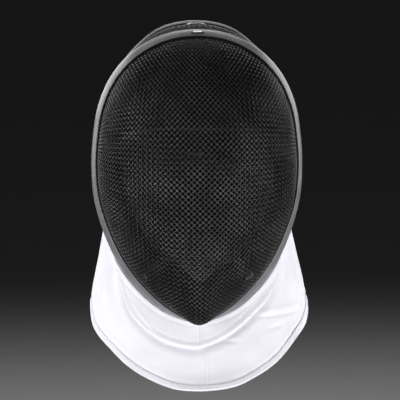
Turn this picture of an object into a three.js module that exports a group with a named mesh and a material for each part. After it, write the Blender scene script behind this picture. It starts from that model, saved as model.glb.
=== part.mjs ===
// Fencing mask with a throat bib. Millimetres, +Z up, and the face of the mask looks along -Y.
// Shapes are worked out in a frame whose zero height is ear level. At the end the whole mask is
// moved so that the origin is the place where the crown of the head sits.

import * as THREE from 'three';

// Face mesh: its rim is a closed loop round the face, and it bulges forward from that loop.
const RIM_WIDTH = 193.2;
const RIM_HEIGHT = 265;
const RIM_TOP = 120.5;
const RIM_SWEEP = 53;
const CHIN_DEPTH = -28;
const FACE_DEPTH = -97;
const FACE_LEVEL = -12;
const MESH_WALL = 2;
const PROW = 0.055;

// Clearances between pieces that touch, and between a pad and the curved wall behind it.
const GAP = 0.3;
const PAD_GAP = 0.8;

// Edging folded over the rim of the face mesh.
const TRIM_THICK = 5.5;
const TRIM_LINING = 2.2;
const TRIM_REACH = 14;
const TRIM_FOLD = 5.5;

// Mesh over the back of the crown, and the narrower edging along its free edge.
const REAR_DEPTH = 76;
const REAR_LIFT = 6;
const REAR_CROWN = 4;
const REAR_END = 0.6;
const REAR_INSET = 1;
const REAR_TRIM_THICK = 2.4;
const REAR_TRIM_LINING = 1.9;
const REAR_TRIM_REACH = 9;
const REAR_TRIM_FOLD = 3.5;

// Metal clip on the edging over the forehead, and the plate that carries the tongue.
const CLIP_WIDTH = 9;
const CLIP_LENGTH = 5;
const CLIP_THICK = 1;
const PLATE_WIDTH = 20;
const PLATE_LENGTH = 9;
const PLATE_THICK = 1.2;
const PLATE_PLACE = 0.78;

// Spring tongue behind the head, with its padded end.
const TONGUE_WIDTH = 26;
const TONGUE_THICK = 1.4;
const TONGUE_ROOT = 0.35;
const TONGUE_BACK = 30;
const TONGUE_DROP = 130;
const TONGUE_ROUND_FROM = 0.94;
const TONGUE_ROUND_LONG = 0.075;
const TONGUE_PAD_WIDTH = 46;
const TONGUE_PAD_LENGTH = 58;
const TONGUE_PAD_THICK = 7;
const TONGUE_PAD_END = 0.997;

// Elastic strap round the back of the head.
const STRAP_WIDTH = 48;
const STRAP_THICK = 2.5;
const STRAP_STATION = 0.4735;
const STRAP_RISE = 8;
const STRAP_CLEAR = 3.7;

// Padded lining inside the face mesh.
const FOREHEAD_THICK = 14;
const CHEEK_THICK = 10;
const CHIN_THICK = 10;
const LINING_START = 10;

// Throat bib.
const BIB_START = 0.64;
const BIB_WALL = 2;
const BIB_FLARE = 14;
const BIB_DROP = 62;
const BIB_FORWARD = 42;
const BIB_SWING = 2;
const BIB_PUFF = 5;
const BIB_HANG = 1.7;
const BAND_WALL = 2;
const BAND_START = 0.76;
const HEM_WIDTH = 6;
const HEM_WALL = 2.8;

// Where the crown of the head sits, below the top of the rear mesh.
const SEAT_BACK = 40;
const SEAT_BELOW_TOP = 8.5;

// Rim of the face mesh, from crown to chin down one side. The rows are evenly spaced along it.
// across: share of half the rim's width; down: share of its height below the crown;
// back: share of its sweep behind the chin; full: how squarely the mesh bulges there;
// prow: share of the prow under the chin.
const RIM_ROWS = [
  { across: 0.000, down: 0.000, back: 0.68, full: 2.1, prow: 0 },
  { across: 0.312, down: 0.018, back: 0.70, full: 2.1, prow: 0 },
  { across: 0.586, down: 0.074, back: 0.76, full: 2.1, prow: 0 },
  { across: 0.792, down: 0.158, back: 0.86, full: 2.1, prow: 0 },
  { across: 0.923, down: 0.264, back: 0.94, full: 2.1, prow: 0 },
  { across: 0.980, down: 0.377, back: 0.99, full: 2.1, prow: 0 },
  { across: 1.000, down: 0.491, back: 1.00, full: 2.1, prow: 0 },
  { across: 0.977, down: 0.604, back: 0.92, full: 2.15, prow: 0 },
  { across: 0.887, down: 0.715, back: 0.75, full: 2.2, prow: 0 },
  { across: 0.747, down: 0.816, back: 0.50, full: 2.3, prow: 0 },
  { across: 0.543, down: 0.904, back: 0.26, full: 2.4, prow: 0 },
  { across: 0.292, down: 0.971, back: 0.07, full: 2.55, prow: 0.05 },
  { across: 0.000, down: 1.000, back: 0.00, full: 2.75, prow: 1 },
];

// Free edge of the rear mesh, from crown to ear, set against the rim beside it.
// narrow: share of the rim's distance from the middle; lift: share of the lift above the rim;
// back: share of the rear depth behind the rim.
const REAR_ROWS = [
  { narrow: 0.960, lift: 0.25, back: 1.000 },
  { narrow: 0.950, lift: 0.28, back: 0.985 },
  { narrow: 0.885, lift: 0.50, back: 0.925 },
  { narrow: 0.890, lift: 1.00, back: 0.810 },
  { narrow: 0.900, lift: 0.90, back: 0.655 },
  { narrow: 0.910, lift: 0.88, back: 0.490 },
  { narrow: 0.925, lift: 0.70, back: 0.300 },
  { narrow: 0.950, lift: 0.30, back: 0.150 },
];

// Free edge of the bib, from the ear round to the middle of the chest, set against the rim.
// flare: share of the flare outside the rim's half width; drop: share of the drop below the chin;
// ahead: share of the way forward of the chin, less than zero behind it.
const HEM_ROWS = [
  { flare: 0.80, drop: 0.02, ahead: -1.19 },
  { flare: 0.74, drop: 0.22, ahead: -1.08 },
  { flare: 0.34, drop: 0.43, ahead: -0.86 },
  { flare: -0.62, drop: 0.60, ahead: -0.30 },
  { flare: -1.90, drop: 0.76, ahead: 0.18 },
  { flare: -3.40, drop: 0.89, ahead: 0.58 },
  { flare: -5.05, drop: 0.97, ahead: 0.84 },
  { flare: -6.90, drop: 1.00, ahead: 0.92 },
];

// Soft folds that run down the bib. at: share of the way from ear to chin, less than zero on the
// left; spread: share of the same way; height: share of the bib's puff.
const BIB_FOLDS = [
  { at: -0.42, spread: 0.10, height: 0.55 },
  { at: 0.36, spread: 0.11, height: 0.70 },
  { at: 0.70, spread: 0.07, height: 0.30 },
  { at: -0.76, spread: 0.08, height: 0.30 },
];

// Lower edge of the collar band as a share of the way from rim to hem, from its start to the chin.
const BAND_ROWS = [
  { reach: 0.06 },
  { reach: 0.30 },
  { reach: 0.46 },
  { reach: 0.52 },
  { reach: 0.50 },
  { reach: 0.47 },
  { reach: 0.46 },
];

// How far each pad reaches from the rim towards the foremost point of the face mesh.
const FOREHEAD_PAD = {
  from: -0.399,
  to: 0.399,
  thick: FOREHEAD_THICK,
  reach: [0.50, 0.73, 0.84, 0.89, 0.90, 0.89, 0.84, 0.73, 0.50],
};
const CHEEK_PAD = {
  from: 0.402,
  to: 0.798,
  thick: CHEEK_THICK,
  reach: [0.66, 0.69, 0.73, 0.76, 0.78, 0.79],
};
const CHIN_PAD = {
  from: 0.802,
  to: 1.198,
  thick: CHIN_THICK,
  reach: [0.80, 0.86, 0.885, 0.89, 0.885, 0.86, 0.80],
};

// Middle line of the tongue from its root, as shares of its way back and of its drop.
const TONGUE_ROWS = [
  { back: 0.00, drop: 0.00 },
  { back: 0.26, drop: 0.035 },
  { back: 0.62, drop: 0.11 },
  { back: 0.90, drop: 0.26 },
  { back: 1.00, drop: 0.46 },
  { back: 0.96, drop: 0.68 },
  { back: 0.84, drop: 0.88 },
  { back: 0.74, drop: 1.00 },
];

// Plan of the strap from the ear to the middle of the back of the head.
// across: share of the way out to the edging's inner face; back: share of the strap's way back.
const STRAP_ROWS = [
  { across: 1.00, back: 0.00 },
  { across: 0.955, back: 0.06 },
  { across: 0.92, back: 0.14 },
  { across: 0.87, back: 0.28 },
  { across: 0.83, back: 0.42 },
  { across: 0.75, back: 0.61 },
  { across: 0.61, back: 0.79 },
  { across: 0.37, back: 0.945 },
  { across: 0.00, back: 1.00 },
];

const LOOP_STEPS = 64;
const FACE_STEPS = 11;
const REAR_STEPS = 5;

const fabric = (color) => new THREE.MeshStandardMaterial({ color, roughness: 0.9, metalness: 0 });
const darkWire = new THREE.MeshStandardMaterial({ color: 0x26282b, roughness: 0.45, metalness: 0.6 });
const edging = new THREE.MeshStandardMaterial({ color: 0x3a3a3f, roughness: 0.4, metalness: 0 });
const brightSteel = new THREE.MeshStandardMaterial({ color: 0xd4d6d8, roughness: 0.25, metalness: 1 });
const springSteel = new THREE.MeshStandardMaterial({ color: 0x3b3d40, roughness: 0.35, metalness: 1 });
const blackPadding = fabric(0x1b1b1e);
const blackElastic = fabric(0x151517);
const whiteCloth = fabric(0xf3f4fa);

const vec = (x, y, z) => new THREE.Vector3(x, y, z);
const BACKWARD = vec(0, 1, 0);

// A smooth value that runs evenly through the numbers of a list, at share t of the way.
function along(values, t) {
  const place = THREE.MathUtils.clamp(t, 0, 1) * (values.length - 1);
  const i = Math.min(Math.floor(place), values.length - 2);
  const f = place - i;
  const at = (k) => values[THREE.MathUtils.clamp(i + k, 0, values.length - 1)];
  const slopeIn = (at(1) - at(-1)) / 2;
  const slopeOut = (at(2) - at(0)) / 2;
  const f2 = f * f;
  const f3 = f2 * f;
  return at(0) * (2 * f3 - 3 * f2 + 1) + slopeIn * (f3 - 2 * f2 + f)
    + at(1) * (3 * f2 - 2 * f3) + slopeOut * (f3 - f2);
}

const column = (rows, name) => rows.map((row) => row[name]);

// A column of the rim's rows that runs on past crown and chin as its own mirror image, so that it
// is smooth there. side is -1 for a column that changes sign across the middle.
function aroundRim(name, side) {
  const half = column(RIM_ROWS, name);
  const last = half.length - 1;
  const at = (k) => {
    if (k < 0) return side * half[-k];
    if (k > last) return side * half[2 * last - k];
    return half[k];
  };
  const padded = Array.from({ length: half.length + 4 }, (_, k) => at(k - 2));
  return (s) => along(padded, (s * last + 2) / (padded.length - 1));
}

const rimColumns = {
  across: aroundRim('across', -1),
  down: aroundRim('down', 1),
  back: aroundRim('back', 1),
  full: aroundRim('full', 1),
  prow: aroundRim('prow', 1),
};

// Stations round the rim run from 0 at the crown to 1 at the chin on the wearer's left, which is
// the viewer's right. Less than zero, or more than 1, is the other side.
function onSide(station) {
  const s = station > 1 ? station - 2 : station;
  return { s: Math.abs(s), side: s < 0 ? -1 : 1 };
}

function rim(station) {
  const { s, side } = onSide(station);
  return vec(
    side * rimColumns.across(s) * RIM_WIDTH / 2,
    CHIN_DEPTH + rimColumns.back(s) * RIM_SWEEP,
    RIM_TOP - rimColumns.down(s) * RIM_HEIGHT,
  );
}

// Outward direction from the rim, square to it as seen from the front.
function rimOut(station) {
  const step = 0.004;
  const run = rim(station + step).sub(rim(station - step));
  return vec(-run.z, 0, run.x).normalize();
}

// Point of the face mesh at a share of the way forward from the rim to the foremost point.
function face(station, share) {
  const { s } = onSide(station);
  const edge = rim(station);
  const full = rimColumns.full(s);
  const hump = 6.75 * share * share * (1 - share);
  const close = Math.pow(Math.max(1 - Math.pow(share, full), 0), 1 / full);
  const k = close * (1 + PROW * Math.max(rimColumns.prow(s), 0) * hump);
  return vec(edge.x * k, edge.y + (FACE_DEPTH - edge.y) * share, FACE_LEVEL + (edge.z - FACE_LEVEL) * k);
}

// Direction square to a surface given as a function of two shares, from its slopes.
function squareTo(surface, u, v, step = 0.003) {
  const v0 = Math.max(v - step, 0);
  const v1 = Math.min(v + step, 0.999);
  const du = surface(u + step, v).sub(surface(u - step, v));
  const dv = surface(u, v1).sub(surface(u, v0));
  return du.cross(dv).normalize();
}

function faceOffset(station, share, depth) {
  if (share > 0.998) return face(station, 1).add(vec(0, depth, 0));
  return face(station, share).addScaledVector(squareTo(face, station, share), depth);
}

// Point on or behind the face mesh's rim: back is measured from the rim, forward of it along the
// mesh if less than zero, and out is measured square to the rim.
function atRim(station, back, out) {
  const edge = rim(station);
  const onMesh = back < 0
    ? face(station, back / (FACE_DEPTH - edge.y))
    : edge.addScaledVector(BACKWARD, back);
  return onMesh.addScaledVector(rimOut(station), out);
}

// Closed body whose faces are turned outwards by the sign of its volume.
function body(points, triangles) {
  const six = triangles.reduce(
    (sum, [a, b, c]) => sum + points[a].dot(points[b].clone().cross(points[c])),
    0,
  );
  const index = six < 0 ? triangles.map(([a, b, c]) => [a, c, b]) : triangles;
  const geometry = new THREE.BufferGeometry();
  geometry.setAttribute('position', new THREE.Float32BufferAttribute(points.flatMap((p) => p.toArray()), 3));
  geometry.setIndex(index.flat());
  return geometry;
}

const quad = (a, b, c, d) => [[a, b, c], [a, c, d]];

// Wall between two layers of points on a grid of us by vs. The grid may close round in u, and its
// last row may be one point.
function wall(us, vs, outer, inner, { closed = false, pole = false } = {}) {
  const points = [];
  const rows = vs.length;
  const layer = (place) => us.map((u) => vs.map((v, j) => {
    if (pole && j === rows - 1 && u !== us[0]) return -1;
    points.push(place(u, v));
    return points.length - 1;
  })).map((line, i, all) => (pole ? [...line.slice(0, -1), all[0][rows - 1]] : line));
  const top = layer(outer);
  const under = layer(inner);
  const triangles = [];
  const add = (...corners) => triangles.push(...quad(...corners).filter((t) => new Set(t).size === 3));
  const columns = closed ? us.length : us.length - 1;
  for (let i = 0; i < columns; i += 1) {
    const n = (i + 1) % us.length;
    for (let j = 0; j < rows - 1; j += 1) {
      add(top[i][j], top[n][j], top[n][j + 1], top[i][j + 1]);
      add(under[i][j], under[i][j + 1], under[n][j + 1], under[n][j]);
    }
    add(top[i][0], under[i][0], under[n][0], top[n][0]);
    if (!pole) add(top[i][rows - 1], top[n][rows - 1], under[n][rows - 1], under[i][rows - 1]);
  }
  if (!closed) {
    const end = us.length - 1;
    for (let j = 0; j < rows - 1; j += 1) {
      add(top[0][j], top[0][j + 1], under[0][j + 1], under[0][j]);
      add(top[end][j], under[end][j], under[end][j + 1], top[end][j + 1]);
    }
  }
  return body(points, triangles);
}

// Body swept through rings of points, one ring at each station, capped unless it closes.
function sweep(rings, closed = false) {
  const count = rings[0].length;
  const points = rings.flat();
  const triangles = [];
  const spans = closed ? rings.length : rings.length - 1;
  for (let i = 0; i < spans; i += 1) {
    const n = (i + 1) % rings.length;
    for (let j = 0; j < count; j += 1) {
      const k = (j + 1) % count;
      triangles.push(...quad(i * count + j, i * count + k, n * count + k, n * count + j));
    }
  }
  if (!closed) {
    const last = (rings.length - 1) * count;
    const flat = THREE.ShapeUtils.triangulateShape(flatten(rings[0]), []);
    flat.forEach(([a, b, c]) => triangles.push([a, c, b]));
    const flatEnd = THREE.ShapeUtils.triangulateShape(flatten(rings[rings.length - 1]), []);
    flatEnd.forEach(([a, b, c]) => triangles.push([last + a, last + b, last + c]));
  }
  return body(points, triangles);
}

// A ring of points as it lies in its own plane, wound as the ring is.
function flatten(ring) {
  const middle = ring.reduce((sum, p) => sum.add(p), vec(0, 0, 0)).divideScalar(ring.length);
  const area = ring.reduce((sum, p, i) => {
    const next = ring[(i + 1) % ring.length];
    return sum.add(p.clone().sub(middle).cross(next.clone().sub(middle)));
  }, vec(0, 0, 0)).normalize();
  const right = ring[1].clone().sub(ring[0]);
  right.addScaledVector(area, -right.dot(area)).normalize();
  const up = area.clone().cross(right);
  return ring.map((p) => new THREE.Vector2(p.clone().sub(middle).dot(right), p.clone().sub(middle).dot(up)));
}

const spaced = (from, to, count) => Array.from(
  { length: count + 1 },
  (_, i) => from + (to - from) * i / count,
);
const loopStations = () => spaced(-1, 1, LOOP_STEPS).slice(0, -1);

// Shares forward from the rim, closer together where the face mesh turns fastest.
const faceShares = () => spaced(0, 1, FACE_STEPS).map((t) => Math.sin(t * Math.PI / 2));

function faceMesh() {
  return wall(
    loopStations(),
    faceShares(),
    (station, share) => face(station, share),
    (station, share) => faceOffset(station, share, MESH_WALL),
    { closed: true, pole: true },
  );
}

// The slope on the outer leg of the edging, from its front to its back, as shares of the edging's
// thickness and reach.
const SLOPE_FRONT = { out: 0.6, back: 0.9 };
const SLOPE_BACK = { out: 0.94, back: 0.45 };

// Folded edging: an outer leg over the mesh, a fold behind its edge and a thinner leg inside.
function foldedSection(thick, lining, reach, fold, wallThick) {
  const inner = -wallThick - 2 * GAP;
  return [
    { out: GAP, back: -reach + GAP },
    { out: thick * 0.3, back: -reach },
    { out: thick * SLOPE_FRONT.out, back: -reach * SLOPE_FRONT.back },
    { out: thick * SLOPE_BACK.out, back: -reach * SLOPE_BACK.back },
    { out: thick, back: 0 },
    { out: thick * 0.92, back: fold * 0.75 },
    { out: thick * 0.5, back: fold },
    { out: inner - lining * 0.3, back: fold },
    { out: inner - lining, back: fold * 0.7 },
    { out: inner - lining, back: -reach * 0.5 },
    { out: inner, back: -reach * 0.62 },
    { out: inner, back: GAP },
    { out: GAP, back: GAP },
  ];
}

function faceTrim() {
  const section = foldedSection(TRIM_THICK, TRIM_LINING, TRIM_REACH, TRIM_FOLD, MESH_WALL);
  return sweep(loopStations().map((station) => section.map((p) => atRim(station, p.back, p.out))), true);
}

const rearColumns = Object.fromEntries(
  ['narrow', 'lift', 'back'].map((name) => [name, column(REAR_ROWS, name)]),
);

// Point of the rear mesh, from the face edging at share 0 to its free edge at share 1.
function rear(station, share) {
  const { s } = onSide(station);
  const near = rim(station);
  const start = near.clone().addScaledVector(BACKWARD, TRIM_FOLD + GAP);
  start.addScaledVector(rimOut(station), -REAR_INSET);
  const t = s / REAR_END;
  const end = vec(
    near.x * along(rearColumns.narrow, t),
    near.y + REAR_DEPTH * along(rearColumns.back, t),
    near.z + REAR_LIFT * along(rearColumns.lift, t),
  );
  const crown = REAR_CROWN * Math.sin(Math.PI * share) * along(rearColumns.back, t) ** 2;
  return start.lerp(end, share).addScaledVector(rimOut(station), crown);
}

// The stations of the loop that carry the rear mesh, so that both edges have the same corners.
function rearStations() {
  const within = loopStations().filter((station) => Math.abs(station) < REAR_END - 0.5 / LOOP_STEPS);
  return [-REAR_END, ...within, REAR_END];
}

function rearOffset(station, share, depth) {
  return rear(station, share).addScaledVector(rimOut(station), -depth);
}

function rearMesh() {
  return wall(
    rearStations(),
    spaced(0, 1, REAR_STEPS),
    rear,
    (station, share) => rearOffset(station, share, MESH_WALL),
  );
}

function rearTrim() {
  const rings = rearStations().map((station) => {
    const edge = rear(station, 1);
    const along1 = edge.clone().sub(rear(station, 0.9)).normalize();
    const room = edge.distanceTo(rear(station, 0)) - GAP;
    const reach = Math.min(REAR_TRIM_REACH, room / 2);
    const section = foldedSection(REAR_TRIM_THICK, REAR_TRIM_LINING, reach, REAR_TRIM_FOLD, MESH_WALL);
    const out = rimOut(station);
    return section.map((p) => edge.clone().addScaledVector(along1, p.back).addScaledVector(out, p.out));
  });
  return sweep(rings);
}

// Thin plate that follows a surface, given by its middle and its spans in the two shares.
function fittedPlate(place, halfU, halfV, thick) {
  return wall(
    spaced(-halfU, halfU, 6),
    spaced(-halfV, halfV, 3),
    (u, v) => place(u, v, GAP + thick),
    (u, v) => place(u, v, GAP),
  );
}

// The clip lies in the middle of the slope on the edging's outer leg.
function trimClip() {
  const perStation = rim(0.01).distanceTo(rim(-0.01)) / 0.02;
  const length = Math.min(CLIP_LENGTH, TRIM_REACH * (SLOPE_FRONT.back - SLOPE_BACK.back) - 2 * GAP);
  const onSlope = (v) => 0.5 + v / (TRIM_REACH * (SLOPE_FRONT.back - SLOPE_BACK.back));
  const back = (v) => -TRIM_REACH * THREE.MathUtils.lerp(SLOPE_BACK.back, SLOPE_FRONT.back, onSlope(v));
  const high = (v) => TRIM_THICK * THREE.MathUtils.lerp(SLOPE_BACK.out, SLOPE_FRONT.out, onSlope(v));
  return fittedPlate(
    (u, v, out) => atRim(u, back(v), high(v) + out),
    CLIP_WIDTH / 2 / perStation,
    length / 2,
    CLIP_THICK,
  );
}

function tonguePlate() {
  const perStation = rear(0.01, PLATE_PLACE).distanceTo(rear(-0.01, PLATE_PLACE)) / 0.02;
  const perShare = rear(0, 1).distanceTo(rear(0, 0));
  return fittedPlate(
    (u, v, out) => rearOffset(u, PLATE_PLACE + v, -out),
    PLATE_WIDTH / 2 / perStation,
    PLATE_LENGTH / 2 / perShare,
    PLATE_THICK,
  );
}

// Point of the tongue's middle line at a share of the way back under the rear mesh.
function underRear(share, clear) {
  const perStation = rear(0.01, 1).distanceTo(rear(-0.01, 1)) / 0.02;
  const edge = TONGUE_WIDTH / 2 / perStation;
  const sag = rear(0, share).z - rear(edge, share).z;
  return rear(0, share).add(vec(0, 0, -(MESH_WALL + clear + sag + TONGUE_THICK / 2)));
}

const tongueBend = underRear(1, REAR_TRIM_LINING + 4 * GAP);

// Middle line of the tongue: it starts under the rear mesh, passes under its edging and comes down
// behind the head.
function tongueLine() {
  const bend = tongueBend;
  const points = [underRear(TONGUE_ROOT, GAP), underRear((TONGUE_ROOT + 0.9) / 2, PAD_GAP), bend];
  TONGUE_ROWS.slice(1).forEach((row) => {
    points.push(vec(0, bend.y + row.back * TONGUE_BACK, bend.z - row.drop * TONGUE_DROP));
  });
  return new THREE.CatmullRomCurve3(points, false, 'centripetal');
}

// Flat strip along a line in the middle plane, as wide across as it is told at each share.
function strip(line, from, to, count, widthAt, thickAt, shift = 0) {
  const rings = spaced(from, to, count).map((t) => {
    const middle = line.getPointAt(t);
    const run = line.getTangentAt(t);
    const out = vec(0, -run.z, run.y);
    const half = widthAt((t - from) / (to - from)) / 2;
    const thick = thickAt((t - from) / (to - from));
    const corner = (side, level) => middle.clone()
      .add(vec(side * half, 0, 0))
      .addScaledVector(out, shift + level * thick);
    return [corner(-1, 0), corner(-1, 0.5), corner(-0.86, 1), corner(0.86, 1), corner(1, 0.5), corner(1, 0)];
  });
  return sweep(rings);
}

function tongue() {
  const past = (t) => Math.max(t - TONGUE_ROUND_FROM, 0) / TONGUE_ROUND_LONG;
  const roundEnd = (t) => TONGUE_WIDTH * Math.sqrt(1 - past(t) * past(t));
  return strip(tongueLine(), 0, 1, 26, roundEnd, () => TONGUE_THICK, -TONGUE_THICK / 2);
}

// Padded end of the tongue, on the side that touches the head.
function tonguePad() {
  const line = tongueLine();
  const share = TONGUE_PAD_LENGTH / line.getLength();
  const oval = (t) => Math.pow(Math.max(1 - Math.pow(Math.abs(2 * t - 1), 3.2), 0), 1 / 2.4);
  return strip(
    line,
    TONGUE_PAD_END - share,
    TONGUE_PAD_END,
    14,
    (t) => TONGUE_PAD_WIDTH * Math.max(oval(t), 0.35),
    (t) => -TONGUE_PAD_THICK * Math.max(oval(t), 0.4),
    -TONGUE_THICK / 2 - GAP,
  );
}

// The strap's ends lie against the inner leg of the face edging below ear level, and its middle
// passes behind the tongue, a little higher.
function strapLine() {
  const level = rim(STRAP_STATION).z;
  const edge = [-0.5, 0.5].map((k) => level - STRAP_RISE + k * STRAP_WIDTH);
  const stations = spaced(0.3, 0.7, 80);
  const widthAt = (z) => {
    const nearest = stations.reduce((a, b) => (Math.abs(rim(a).z - z) < Math.abs(rim(b).z - z) ? a : b));
    return rim(nearest).x;
  };
  const lining = MESH_WALL + 2 * GAP + TRIM_LINING + GAP + STRAP_THICK / 2;
  const half = Math.min(...edge.map(widthAt)) - lining - GAP;
  const start = rim(0.5).y - TRIM_REACH * 0.45;
  const end = tongueBend.y + TONGUE_BACK + STRAP_CLEAR + (TONGUE_THICK + STRAP_THICK) / 2;
  const side = STRAP_ROWS.map((row) => vec(
    half * row.across,
    start + row.back * (end - start),
    level - (1 - row.back) * STRAP_RISE,
  ));
  const other = side.slice(0, -1).reverse().map((p) => vec(-p.x, p.y, p.z));
  return new THREE.CatmullRomCurve3([...side, ...other], false, 'centripetal');
}

function backStrap() {
  const line = strapLine();
  const rings = spaced(0, 1, 40).map((t) => {
    const middle = line.getPointAt(t);
    const run = line.getTangentAt(t);
    const out = vec(run.y, -run.x, 0);
    const corner = (across, up) => middle.clone()
      .addScaledVector(out, across * STRAP_THICK / 2)
      .add(vec(0, 0, up * STRAP_WIDTH / 2));
    return [corner(-1, -1), corner(1, -1), corner(1, 1), corner(-1, 1)];
  });
  return sweep(rings);
}

// Pad that lines the inside of the face mesh, thinning to a rounded edge all round.
function liningPad({ from, to, thick, reach }, columns, rows) {
  const start = (station) => LINING_START / (rim(station).y - FACE_DEPTH);
  const reachAt = (station) => along(reach, (station - from) / (to - from));
  const shareAt = (station, v) => {
    const a = Math.asin(start(station)) * 2 / Math.PI;
    const b = Math.asin(reachAt(station)) * 2 / Math.PI;
    return Math.sin((a + (b - a) * v) * Math.PI / 2);
  };
  const crown = (t) => Math.sqrt(Math.max(1 - Math.pow(Math.abs(2 * t - 1), 4), 0));
  const thickAt = (station, v) => thick * Math.max(crown((station - from) / (to - from)) * crown(v), 0.3);
  const back = MESH_WALL + PAD_GAP;
  return wall(
    spaced(from, to, columns),
    spaced(0, 1, rows),
    (station, v) => faceOffset(station, shareAt(station, v), back),
    (station, v) => faceOffset(station, shareAt(station, v), back + thickAt(station, v)),
  );
}

const hemColumns = Object.fromEntries(
  ['flare', 'drop', 'ahead'].map((name) => [name, column(HEM_ROWS, name)]),
);

// Free edge of the bib at a share from one ear (-1) through the chest (0) to the other ear (1).
function hem(across) {
  const side = across < 0 ? -1 : 1;
  const t = 1 - Math.abs(across);
  const chin = rim(1);
  return vec(
    side * Math.max(RIM_WIDTH / 2 + BIB_FLARE * along(hemColumns.flare, t), 0) + BIB_SWING,
    chin.y - BIB_FORWARD * along(hemColumns.ahead, t),
    chin.z - BIB_DROP * along(hemColumns.drop, t),
  );
}

// Point of the bib: across as for the hem, down from the edging at 0 to the free edge at 1.
function bib(across, down) {
  const side = across < 0 ? -1 : 1;
  const station = side * (1 - Math.abs(across) * (1 - BIB_START));
  const top = atRim(station, TRIM_FOLD + 2 * GAP, GAP);
  const low = hem(across);
  const folds = BIB_FOLDS.reduce((sum, fold) => {
    const centre = Math.sign(fold.at) * (1 - Math.abs(fold.at));
    return sum + fold.height * Math.exp(-Math.pow((across - centre) / fold.spread, 2));
  }, 0);
  const puff = BIB_PUFF * (Math.sin(Math.PI * down) ** 2 - folds * down * down * (1.6 - down));
  const out = vec(low.x - BIB_SWING, (low.y - rim(0.5).y), 0).normalize();
  const hung = vec(
    THREE.MathUtils.lerp(top.x, low.x, down),
    THREE.MathUtils.lerp(top.y, low.y, Math.pow(down, BIB_HANG)),
    THREE.MathUtils.lerp(top.z, low.z, down),
  );
  return hung.addScaledVector(out, puff * (1 - across * across));
}

const bibColumns = () => spaced(-1, 1, 52);

// Rows down the bib, closer together beside the edging, where it turns to hang.
const bibRows = (count) => spaced(0, 1, count).map((t) => t * Math.sqrt(t));

function bibOut(across, down) {
  return squareTo(bib, THREE.MathUtils.clamp(across, -0.995, 0.995), Math.max(down, 0.004)).negate();
}

const bibOffset = (across, down, out) => bib(across, down).addScaledVector(bibOut(across, down), out);
const bibLength = (across) => bib(across, 1).distanceTo(bib(across, 0));
const hemStart = (across) => 1 - (HEM_WIDTH + GAP) / bibLength(across);

function bibSkirt() {
  const place = (out) => (across, v) => bibOffset(across, v * hemStart(across), out);
  return wall(bibColumns(), bibRows(7), place(0), place(-BIB_WALL));
}

function bibHem() {
  const place = (out) => (across, v) => bibOffset(across, 1 - (1 - v) * HEM_WIDTH / bibLength(across), out);
  const proud = (HEM_WALL - BIB_WALL) / 2;
  return wall(bibColumns(), [0, 1], place(proud), place(-BIB_WALL - proud));
}

// Collar band laid over the top of the skirt, round the chin.
function throatBand() {
  const reach = column(BAND_ROWS, 'reach');
  const half = (1 - BAND_START) / (1 - BIB_START);
  const columns = bibColumns().filter((across) => Math.abs(across) <= half);
  const clear = (across) => (TRIM_THICK + 2 * GAP + BAND_WALL) / bibLength(across);
  const low = (across) => Math.max(along(reach, 1 - Math.abs(across) / half), 1.6 * clear(across));
  const down = (across, v) => THREE.MathUtils.lerp(clear(across), low(across), v);
  const place = (out) => (across, v) => bibOffset(across, down(across, v), out);
  return wall(columns, spaced(0, 1, 4), place(PAD_GAP + BAND_WALL), place(PAD_GAP));
}

const mask = new THREE.Group();

function add(name, geometry, material) {
  const mesh = new THREE.Mesh(geometry, material);
  mesh.name = name;
  mask.add(mesh);
}

add('front_mesh', faceMesh(), darkWire);
add('front_trim', faceTrim(), edging);
add('rear_mesh', rearMesh(), darkWire);
add('rear_trim', rearTrim(), edging);
add('trim_clip', trimClip(), brightSteel);
add('tongue_plate', tonguePlate(), brightSteel);
add('tongue', tongue(), springSteel);
add('tongue_pad', tonguePad(), blackPadding);
add('back_strap', backStrap(), blackElastic);
add('forehead_pad', liningPad(FOREHEAD_PAD, 20, 7), blackPadding);
add('cheek_pad_left', liningPad(CHEEK_PAD, 9, 6), blackPadding);
const otherCheek = { ...CHEEK_PAD, from: -CHEEK_PAD.from, to: -CHEEK_PAD.to };
add('cheek_pad_right', liningPad(otherCheek, 9, 6), blackPadding);
add('chin_pad', liningPad(CHIN_PAD, 14, 6), blackPadding);
add('bib_skirt', bibSkirt(), whiteCloth);
add('throat_band', throatBand(), whiteCloth);
add('bib_hem', bibHem(), whiteCloth);

const seat = rear(0, 0.5).add(vec(0, 0, -SEAT_BELOW_TOP));
mask.position.set(0, -SEAT_BACK, -seat.z);

export default mask;
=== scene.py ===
"""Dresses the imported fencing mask: woven wire, edging, padded lining, strap, tongue and bib.

Shapes are worked out in millimetres in a frame whose zero height is ear level, as in the part's
source, and moved and scaled into the model's frame when they are put into a mesh.
"""
import sys
import logging
import math
from dataclasses import dataclass, field
from enum import Enum
from typing import Callable, Dict, List, Optional, Sequence, Tuple

import bpy
import numpy as np
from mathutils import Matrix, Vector


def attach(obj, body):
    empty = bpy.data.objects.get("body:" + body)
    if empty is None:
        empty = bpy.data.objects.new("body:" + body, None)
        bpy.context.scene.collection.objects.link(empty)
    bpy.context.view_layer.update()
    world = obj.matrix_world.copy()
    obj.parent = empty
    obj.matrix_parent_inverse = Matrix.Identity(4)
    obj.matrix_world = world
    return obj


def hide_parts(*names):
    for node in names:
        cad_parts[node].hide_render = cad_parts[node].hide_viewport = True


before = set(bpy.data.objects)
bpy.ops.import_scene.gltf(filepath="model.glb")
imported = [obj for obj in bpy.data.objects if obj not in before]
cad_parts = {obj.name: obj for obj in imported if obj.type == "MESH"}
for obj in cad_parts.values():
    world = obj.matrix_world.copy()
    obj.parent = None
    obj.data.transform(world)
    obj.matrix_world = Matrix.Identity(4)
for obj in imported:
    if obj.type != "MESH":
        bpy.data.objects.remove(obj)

LOG = logging.getLogger("fencing_mask")
Array = np.ndarray
Colour = Tuple[float, float, float]

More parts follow.
